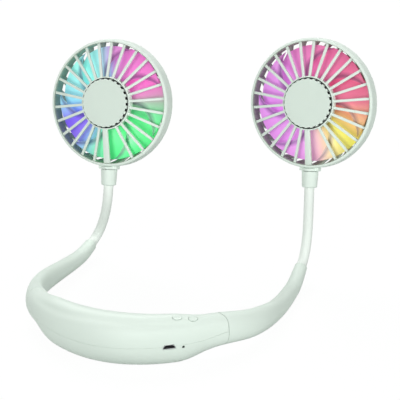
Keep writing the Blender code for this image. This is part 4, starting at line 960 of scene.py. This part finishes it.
def mark_painted_shade(bm, reach, number=1):
    """Give a further material, the greyer ABS of painted shade, to what faces the fan's axis or its front,
    within the reach.
    """
    bm.normal_update()
    for face in bm.faces:
        middle = face.calc_center_median()
        outward = middle.to_2d().normalized().to_3d()
        if middle.to_2d().length < reach and face.normal.z - face.normal.dot(outward) > 0.5:
            face.material_index = number


def foot_parts(s):
    """Saddle under the barrel, and the round foot below it that turns in the collar."""
    flange_foot = -s.radius - s.flange
    height = s.flange + s.wall
    saddle = bmesh.new()
    bmesh.ops.create_cube(saddle, size=1)
    bmesh.ops.scale(saddle, verts=saddle.verts, vec=(s.saddle[0], height, s.saddle[1]))
    bmesh.ops.translate(saddle, verts=saddle.verts, vec=(0, flange_foot + height / 2, -s.swivel_depth))
    round_edges(saddle, SADDLE_ROUNDING)
    radius = settings("neck").collar_top
    foot = turned(((radius, 0), (radius, s.flange - FOOT_GAP)), COLLAR_STEPS, closed=False)
    round_edges(foot, FOOT_ROUNDING, segments=2)
    upright = Matrix.Rotation(-math.pi / 2, 4, "X")
    bmesh.ops.transform(foot, verts=foot.verts,
                        matrix=Matrix.Translation((0, flange_foot, -s.swivel_depth)) @ upright)
    return saddle, foot


def build_rear_housing(side):
    """Barrel with its slotted shoulder, and the foot that turns in the collar."""
    s = settings("head")
    front = -s.rim_depth - HAIRLINE
    inner, back = s.radius - s.wall, -s.band_depth
    barrel = turned(((inner, front), (s.radius, front), (s.radius, back + MM),
                     (s.radius - EDGE_ROUNDING, back), (inner, back)), RIM_STEPS)
    points = np.reshape(s.shoulder, (-1, 2))
    bend = natural_spline(range(len(points)), points)
    places = [tuple(bend(place)) for place in spread(0, len(points) - 1, SHOULDER_SECTIONS)]
    ribs = [curved_rib(turn + s.rear_swirl, s.shoulder_swirl, places, s.shoulder_rib, s.rear_rib[1])
            for turn in around(s.rear_ribs)]
    join(barrel, *ribs)
    # Inside faces of the barrel and its ribs get the greyer ABS as painted shade
    mark_painted_shade(barrel, s.radius - SKIN_MARGIN)
    make_piece("barrel_" + side, join(barrel, *foot_parts(s)), "head_" + side,
               ["moulded_abs", "moulded_abs_inside"], ["rear_housing_" + side], head_matrix(side))


def build_rear_guard(side):
    """Rear guard: outer ring, curved ribs, and the dished disc that carries the motor."""
    s = settings("head")
    width, depth = s.rear_rib
    back, front = -s.depth, depth - s.depth
    outside, inside = s.guard_ring
    ring = turned(((inside, back), (outside, back), (outside, front), (inside, front)), RIM_STEPS)
    round_edges(ring, EDGE_ROUNDING, segments=2)
    dish = s.rear_disc * DISH_SHARE
    disc = turned(((dish, front), (s.rear_disc, front), (s.rear_disc, back),
                   (s.rear_disc * FLAT_SHARE, back), (dish, back + DISH_DEPTH)), closed=False)
    # The edge of the dish is flatter than others that are rounded
    round_edges(disc, EDGE_ROUNDING, above=30, segments=2)
    reaches = spread(s.rear_disc - MM, (outside + inside) / 2, GUARD_SECTIONS)
    places = [(radius, s.depth - depth / 2) for radius in reaches]
    ribs = [curved_rib(turn, s.rear_swirl, places, width, depth - EDGE_ROUNDING)
            for turn in around(s.rear_ribs)]
    join(ring, disc, *ribs)
    # Faces of the guard that look forward or inward get the greyer ABS as painted shade
    mark_painted_shade(ring, s.radius)
    make_piece("guard_" + side, ring, "head_" + side, ["moulded_abs", "moulded_abs_inside"],
               ["rear_guard_" + side], head_matrix(side))


# Gap between the ring's floor and the cap, length of the cap's slots, and length of the ramp at a slot's end
CAP_GAP = 1.3 * MM
SLOT_LENGTH = 2.4 * MM
SLOT_RAMP = 0.1 * MM

# Rounding of the cap's edge, height of its crown, and the shares of its radius at which the crown has a ring
CAP_ROUNDING = 0.4 * MM
CROWN = 0.25 * MM
CROWN_SHARES = (0.9, 0.7, 0.4, 0.1)

# Shares of a slot's depth between which a face of the cap is the bottom of a slot, black as painted shade
SLOT_SHARES = (0.25, 1.2)


def build_cap(side):
    """Removable scent cap, slightly crowned, with a row of small slots around its edge."""
    s = settings("head")
    notch_width, notch_depth = s.cap_notch
    quarter_pitch = math.pi / 2 / s.spokes
    half = notch_width / s.cap_radius / 2
    soft = half / 4
    steps = ((-2 * quarter_pitch, 0), (-quarter_pitch, 0), (-half - soft, 0), (-half, 1), (0, 1), (half, 1),
             (half + soft, 0), (quarter_pitch, 0))
    outline = [(middle + step, deep) for middle in around(s.spokes) for step, deep in steps]

    def ring(radius, height, notched=0):
        points = [(angle, radius - notch_depth * deep * notched) for angle, deep in outline]
        return [Vector((math.cos(angle) * reach, math.sin(angle) * reach, height)) for angle, reach in points]

    slots = s.cap_forward - SLOT_LENGTH
    rings = [ring(s.cap_radius, s.hub_floor + CAP_GAP), ring(s.cap_radius, slots),
             ring(s.cap_radius, slots + SLOT_RAMP, 1)]
    for turn in spread(0, math.pi / 2, CAP_ARC_POINTS):
        rings.append(ring(s.cap_radius - CAP_ROUNDING * (1 - math.cos(turn)),
                          s.cap_forward - CAP_ROUNDING * (1 - math.sin(turn)), 1 - turn / (math.pi / 2)))
    for share in CROWN_SHARES:
        rings.append(ring((s.cap_radius - CAP_ROUNDING) * share, s.cap_forward + CROWN * (1 - share ** 2)))
    lid = sweep(rings)
    # Slot bottoms get the black nylon as painted shade
    low, high = (share * notch_depth for share in SLOT_SHARES)
    for face in lid.faces:
        middle = face.calc_center_median()
        recess = s.cap_radius - middle.to_2d().length
        if low < recess < high and slots < middle.z < s.cap_forward - CAP_ROUNDING:
            face.material_index = 1
    make_piece("scent_cap_lid_" + side, lid, "cap_" + side, ["moulded_abs_cap", "moulded_nylon"],
               ["scent_cap_" + side], head_matrix(side), sharp=40)


# Depths of the impeller hub's front and back, its wall and the chamfer around its front
HUB_FRONT = 3.6 * MM
HUB_BACK = 12.7 * MM
HUB_WALL = 1.4 * MM
HUB_CHAMFER = 0.8 * MM

# Sections along a blade, points across it, share of its length where the tip begins to narrow, and how much
BLADE_SECTIONS = 13
CHORD_POINTS = 17
TIP_START = 0.7
TIP_NARROWING = 0.16

# How fast the painted shadow at a blade's edges fades over the depth of the blade
EDGE_FADE = 14


def blade_rings(s, turn, root):
    """Sections of one blade from its root to its rounded tip."""
    rings = []
    for radius in spread(root, s.impeller_tip, BLADE_SECTIONS):
        share = (radius - root) / (s.impeller_tip - root)
        lead = turn + s.blade_sweep * share ** 2
        tip = smoothstep((share - TIP_START) / (1 - TIP_START))
        upper, lower = [], []
        for chord in spread(0, 1, CHORD_POINTS):
            from_middle = 2 * chord - 1
            rounding = 1 - TIP_NARROWING * tip * from_middle ** 4
            angle = lead + s.blade_span * (1 + from_middle * rounding) / 2
            depth = s.blade_front + (s.blade_back - s.blade_front) * (chord + smoothstep(chord)) / 2
            half = s.blade_thickness / 2 * (1 - from_middle ** 2 / 2)
            place = Vector((radius * math.cos(angle), radius * math.sin(angle), -depth))
            upper.append(place + UP * half)
            lower.append(place - UP * half)
        rings.append(upper + lower[::-1])
    return rings


def build_impeller(side):
    """Impeller with swept, overlapping blades; an attribute marks the blade edges for painted shadow."""
    s = settings("head")
    front, back = -HUB_FRONT, -HUB_BACK
    inner = s.impeller_hub - HUB_WALL
    bm = turned(((s.impeller_hub - HUB_CHAMFER, front), (s.impeller_hub, front - HUB_CHAMFER),
                 (s.impeller_hub, back), (inner, back), (inner, front - HUB_WALL)), closed=False)
    root = s.impeller_hub - HUB_WALL / 2
    join(bm, *(sweep(blade_rings(s, turn, root)) for turn in around(s.blades)))
    # Painted shadow along each blade's front and back edges
    edge = bm.verts.layers.float.new("blade_edge")
    for vert in bm.verts:
        if vert.co.to_2d().length < root + MM / 10:
            continue
        depth = (-vert.co.z - s.blade_front) / (s.blade_back - s.blade_front)
        vert[edge] = max(0, 1 - min(abs(depth), abs(1 - depth)) * EDGE_FADE)
    make_piece("impeller_blades_" + side, bm, "impeller_" + side, [blade_material(side)],
               ["impeller_" + side], head_matrix(side))


# Stations between which a button is looked for, with their count, and the angles tried in degrees
BUTTON_STATIONS = (0.034, 0.058, 97)
BUTTON_ANGLES = range(30, 90)

# How much the button's oval shrinks and how far it rises over the skin, from its foot to its dished top
BUTTON_SHRINKS = (0, 0, 0.08 * MM, 0.3 * MM, 0.6 * MM, 1.1 * MM, 2.0 * MM)
BUTTON_RISES = (-3.0 * MM, -0.1 * MM, 0.12 * MM, 0.28 * MM, 0.32 * MM, 0.24 * MM, 0.16 * MM)

# How far the cutters reach out of the skin and below it
CUTTER_OUT = 3 * MM
CUTTER_DEPTH = 3.2 * MM


def button_place(shape, name):
    """Station and angle of the skin over a button's node."""
    low, high = (Vector(corner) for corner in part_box(name))
    middle = ((low + high) / 2).to_2d()
    places = ((station, math.radians(angle))
              for station in spread(*BUTTON_STATIONS) for angle in BUTTON_ANGLES)
    return min(places, key=lambda place: (shape.point(*place).to_2d() - middle).length)


def build_button(shape, name):
    """Oval button, slightly dished, and the shape of its hole."""
    place, along, down, normal = skin_frame(shape, *button_place(shape, name))
    along = (along - normal * along.dot(normal)).normalized()
    down = normal.cross(along)

    def ring(rise, grow):
        return oval(place + normal * rise, along, down, [size + grow for size in settings("socket").button])

    rings = [ring(rise, -shrink) for shrink, rise in zip(BUTTON_SHRINKS, BUTTON_RISES)]
    make_piece(name + "_cap", sweep(rings), name, ["moulded_abs"], [name], sharp=50)
    gap = 2 * settings("socket").clearance
    return sweep([ring(rise, gap) for rise in (CUTTER_OUT, -CUTTER_DEPTH)])


def socket_outline(grow):
    """Outline of the charging socket, narrower at the top, grown outward."""
    s = settings("socket")
    top, bottom, half = s.widths[0] / 2 + grow, s.widths[1] / 2 + grow, s.tall / 2 + grow
    right = [(top - s.metal, half), (top, half - s.metal), (bottom, -half / 4), (bottom, s.metal - half),
             (bottom - s.metal, -half)]
    return right + [(-across, level) for across, level in right[::-1]]


# Setback of the socket behind the skin, its length, its mouth's chamfer, and the tongue's lift and rounding
SOCKET_SETBACK = 0.4 * MM
SOCKET_LENGTH = 5 * MM
SOCKET_CHAMFER = 0.1 * MM
TONGUE_LIFT = 0.1 * MM
TONGUE_ROUNDING = 0.15 * MM

# Reach of the search for the skin to either side of the socket board's middle, and places tried
SKIN_REACH = 20 * MM
SKIN_TRIES = 161

# Shares of the indicator's radius, and how far behind the skin its dome is there
LENS_SHARES = (1, 1, 0.8, 0.3)
LENS_DEPTHS = (3 * MM, 0.35 * MM, 0.2 * MM, 0.12 * MM)
LENS_STEPS = 32


class SocketPlace:
    """Upright plane of the socket board, with distances along it and out of it."""

    def __init__(self, shape):
        self.shape = shape
        self.centre, along, _, _ = shape.frame(settings("socket").station)
        self.along = along.to_2d().normalized().to_3d()
        self.outward = self.along.cross(UP)

    def at(self, right, out, level):
        """Point at a distance to the right of the board's middle and out of it, and at a level."""
        point = self.centre + self.along * right + self.outward * out
        point.z = level
        return point

    def skin(self, right, level):
        """How far out the housing's skin is."""
        middle = settings("socket").station
        skin = [self.shape.point(station, self.shape.level_angle(station, level)) - self.centre
                for station in spread(middle - SKIN_REACH, middle + SKIN_REACH, SKIN_TRIES)]
        return min(skin, key=lambda point: abs(point.dot(self.along) - right)).dot(self.outward)

    def ring(self, out, grow):
        """Outline of the socket so far out."""
        s = settings("socket")
        return [self.at(s.along + right, out, s.height + level) for right, level in socket_outline(grow)]


def build_socket(place):
    """Charging socket with its dark inside and its tongue, and the shape of its opening."""
    s = settings("socket")
    front = place.skin(s.along, s.height) - SOCKET_SETBACK
    back, floor = front - SOCKET_LENGTH, front - s.cavity
    steps = ((back, 0), (front - SOCKET_CHAMFER, 0), (front, -SOCKET_CHAMFER), (front, -s.metal),
             (floor, -s.metal))
    shell = sweep([place.ring(out, grow) for out, grow in steps])
    middle = place.at(s.along, (front + floor) / 2, s.height)
    for face in shell.faces:
        centre = face.calc_center_median()
        behind = (centre - place.centre).dot(place.outward) < front - HAIRLINE
        if behind and face.normal.dot(centre - middle) < 0:
            face.material_index = 1
    make_piece("socket_shell", shell, "band", ["plated_steel", "moulded_nylon"], ["usb_socket"])
    width, thick, setback = s.tongue
    level = s.height - s.tall / 2 + s.metal + TONGUE_LIFT + thick
    tongue = bar(place.at(s.along, floor, level), place.at(s.along, front - setback, level), place.along,
                 (width, width), thick, TONGUE_ROUNDING)
    make_piece("socket_tongue", tongue, "band", ["moulded_nylon"])
    return sweep([place.ring(back - EDGE_ROUNDING, s.clearance), place.ring(front + CUTTER_OUT, s.clearance)])


def build_indicator(place):
    """Indicator lens, and the shape of its opening."""
    s = settings("socket")
    right, level = s.indicator
    turn = place.outward.to_track_quat("Z", "Y").to_matrix().to_4x4()
    matrix = Matrix.Translation(place.at(right, place.skin(right, level), level)) @ turn
    profile = [(s.indicator_radius * share, -depth) for share, depth in zip(LENS_SHARES, LENS_DEPTHS)]
    make_piece("indicator_lens", turned(profile, LENS_STEPS, closed=False), "band", ["smoked_acrylic"],
               ["charge_indicator"], matrix)
    radius = s.indicator_radius + s.clearance / 2
    eye = turned(((radius, -CUTTER_DEPTH), (radius, 2 * MM)), LENS_STEPS, closed=False)
    bmesh.ops.transform(eye, verts=eye.verts, matrix=matrix)
    return eye


def build_controls():
    """Two oval buttons, the charging socket and the indicator, with their openings in the shells."""
    shape = BandShape()
    place = SocketPlace(shape)
    holes = [build_button(shape, name) for name in ("speed_button", "light_button")]
    hole, eye = build_socket(place), build_indicator(place)
    cut(bpy.data.objects["housing_upper"], holes + [hole.copy()])
    cut(bpy.data.objects["housing_lower"], [hole, eye])


# Stage

SENSOR_WIDTH = 36
FAR_CLIP = 100

# The broad light's colour, and the cosines between which it grows from its weak side to its strong one
SKY_COLOUR = (0.98, 1, 0.985, 1)
SKY_EDGES = (-0.3, 1.0)

# The floor's half width and drop below the object, its colour as a light on the object, how bright it shows,
# and how much of that glow is mixed in where it is seen
FLOOR_REACH = 30
FLOOR_DROP = 0.2 * MM
PAPER_COLOUR = (0.30, 0.33, 0.31, 1)
PAPER_GLOW = 1.10
PAPER_SHARE = 0.88


def show_as(tree, output, lighting, shown, share=1.0):
    """End a tree with one shader as light on the object, and one mixed in where camera or mirror shows it."""
    path = add_node(tree, "ShaderNodeLightPath").outputs
    seen = path["Is Camera Ray"]
    for name in ("Is Glossy Ray", "Is Transmission Ray"):
        seen = add_node(tree, "ShaderNodeMath", {"operation": "MAXIMUM"}, {0: seen, 1: path[name]}).outputs[0]
    part = add_node(tree, "ShaderNodeMath", {"operation": "MULTIPLY", 1: share}, {0: seen})
    mixed = add_node(tree, "ShaderNodeMixShader",
                     links={0: part.outputs[0], 1: lighting.outputs[0], 2: shown.outputs[0]})
    add_node(tree, output, links={"Surface": mixed.outputs[0]})


def empty_tree(owner):
    """Node tree of a world or a material, without nodes."""
    owner.use_nodes = True
    owner.node_tree.nodes.clear()
    return owner.node_tree


def way_to(turn, height):
    """Direction of a place that is so far round to the right of the housing, and so high, as angles."""
    return Vector((math.sin(turn) * math.cos(height), -math.cos(turn) * math.cos(height), math.sin(height)))


def build_camera(s):
    """Camera that looks down at the fan from the right."""
    right = Vector((math.cos(s.azimuth), math.sin(s.azimuth), 0))
    back = way_to(s.azimuth, s.elevation)
    rolled = right * math.cos(s.roll) + back.cross(right) * math.sin(s.roll)
    data = bpy.data.cameras.new("camera")
    data.lens = s.lens
    data.sensor_width = SENSOR_WIDTH
    data.clip_end = FAR_CLIP
    camera = add_object("camera", data)
    camera.matrix_world = Matrix((rolled, back.cross(rolled), back)).transposed().to_4x4()
    camera.location = Vector(s.look_at) + back * s.distance
    bpy.context.scene.camera = camera


def build_lamp(s, name):
    """One round lamp that faces the middle of the picture."""
    power, turn, height, distance, width = getattr(s, name)
    light = bpy.data.lights.new(name, "AREA")
    light.shape = "DISK"
    light.size = width
    light.energy = power
    way = way_to(math.radians(turn), math.radians(height))
    lamp = add_object(name, light)
    lamp.location = Vector(s.look_at) + way * distance
    lamp.rotation_euler = way.to_track_quat("Z", "Y").to_euler()


def build_world(s):
    """White surroundings that light the object as a broad soft light in front, which fades out behind it."""
    world = bpy.data.worlds.new("studio")
    tree = empty_tree(world)
    behind, before, turn, height = s.broad_light
    place = add_node(tree, "ShaderNodeTexCoord").outputs["Generated"]
    facing = add_node(tree, "ShaderNodeVectorMath", {"operation": "DOT_PRODUCT", 1: way_to(
        math.radians(turn), math.radians(height))}, {0: place})
    level = add_node(tree, "ShaderNodeMapRange",
                     {"interpolation_type": "SMOOTHSTEP", "From Min": SKY_EDGES[0], "From Max": SKY_EDGES[1],
                      "To Min": behind, "To Max": before}, {"Value": facing.outputs["Value"]})
    strength = level.outputs["Result"]
    light = add_node(tree, "ShaderNodeBackground", {"Color": SKY_COLOUR}, {"Strength": strength})
    white = add_node(tree, "ShaderNodeBackground", {"Color": (1, 1, 1, 1), "Strength": 1.0})
    show_as(tree, "ShaderNodeOutputWorld", light, white)
    bpy.context.scene.world = world


def build_floor():
    """Pale paper that shows nearly white and returns a softer light."""
    bm = bmesh.new()
    bmesh.ops.create_grid(bm, x_segments=1, y_segments=1, size=FLOOR_REACH)
    floor = add_object("floor", as_mesh("floor", bm))
    floor.location.z = -FLOOR_DROP
    material = bpy.data.materials.new("white_paper")
    tree = empty_tree(material)
    paper = add_node(tree, "ShaderNodeBsdfDiffuse", {"Color": PAPER_COLOUR})
    glow = add_node(tree, "ShaderNodeEmission", {"Strength": PAPER_GLOW})
    show_as(tree, "ShaderNodeOutputMaterial", paper, glow, PAPER_SHARE)
    floor.data.materials.append(material)


def build_stage():
    """Camera, lights, world and the pale floor."""
    s = settings("stage")
    bpy.context.scene.view_settings.view_transform = "Standard"
    build_camera(s)
    for name in ("front_lamp", "side_lamp", "rear_lamp"):
        build_lamp(s, name)
    build_world(s)
    build_floor()


def finish_cad_nodes():
    """Give the CAD solids that stay in view their own finishes."""
    for name, item in frame["nodes"].items():
        for start, material in CAD_FINISHES.items():
            if name.startswith(start):
                item.data.materials.clear()
                item.data.materials.append(bpy.data.materials[material])


# Operators

class FAN_OT_housing(bpy.types.Operator):
    """Build the two shells of the battery housing with their controls"""

    bl_idname = "fan.housing"
    bl_label = "Housing"

    def execute(self, context):
        build_materials()
        build_housing()
        build_controls()
        return {"FINISHED"}


class FAN_OT_arms(bpy.types.Operator):
    """Build the arms"""

    bl_idname = "fan.arms"
    bl_label = "Arms"

    def execute(self, context):
        for side in SIDES:
            build_arm(side)
        return {"FINISHED"}


class FAN_OT_necks(bpy.types.Operator):
    """Build the flexible necks and their collars"""

    bl_idname = "fan.necks"
    bl_label = "Necks"

    def execute(self, context):
        for side in SIDES:
            build_neck(side)
            build_collar(side)
        return {"FINISHED"}


class FAN_OT_heads(bpy.types.Operator):
    """Build the fan heads"""

    bl_idname = "fan.heads"
    bl_label = "Heads"

    def execute(self, context):
        for side in SIDES:
            build_front_grille(side)
            build_rear_housing(side)
            build_rear_guard(side)
            build_cap(side)
            build_impeller(side)
        return {"FINISHED"}


class FAN_OT_inside(bpy.types.Operator):
    """Finish the pieces inside"""

    bl_idname = "fan.inside"
    bl_label = "Inside pieces"

    def execute(self, context):
        finish_cad_nodes()
        return {"FINISHED"}


class FAN_OT_stage(bpy.types.Operator):
    """Build the camera, the lights and the floor"""

    bl_idname = "fan.stage"
    bl_label = "Stage"

    def execute(self, context):
        build_stage()
        return {"FINISHED"}


class FAN_PT_panel(bpy.types.Panel):
    """Lists the builders of the fan"""

    bl_idname = "FAN_PT_panel"
    bl_label = "Neckband fan"
    bl_space_type = "VIEW_3D"
    bl_region_type = "UI"
    bl_category = "Fan"

    def draw(self, context):
        for operator in OPERATORS:
            self.layout.operator(operator.bl_idname)


GROUPS = {"fan_band": BandSizes, "fan_neck": NeckSizes, "fan_head": HeadSizes, "fan_socket": SocketSizes,
          "fan_colours": FinishColours, "fan_stage": StageSettings}
OPERATORS = (FAN_OT_housing, FAN_OT_arms, FAN_OT_necks, FAN_OT_heads, FAN_OT_inside, FAN_OT_stage)


def register():
    """Register the groups, the operators and the panel."""
    for name, group in GROUPS.items():
        bpy.utils.register_class(group)
        setattr(bpy.types.Scene, name, PointerProperty(type=group))
    for item in (*OPERATORS, FAN_PT_panel):
        bpy.utils.register_class(item)


def unregister():
    """Take everything back out."""
    for item in (FAN_PT_panel, *reversed(OPERATORS)):
        bpy.utils.unregister_class(item)
    for name, group in GROUPS.items():
        delattr(bpy.types.Scene, name)
        bpy.utils.unregister_class(group)


def main():
    """Build everything in order."""
    register()
    for operator in OPERATORS:
        group, name = operator.bl_idname.split(".")
        getattr(getattr(bpy.ops, group), name)()


if __name__ == "__main__":
    main()
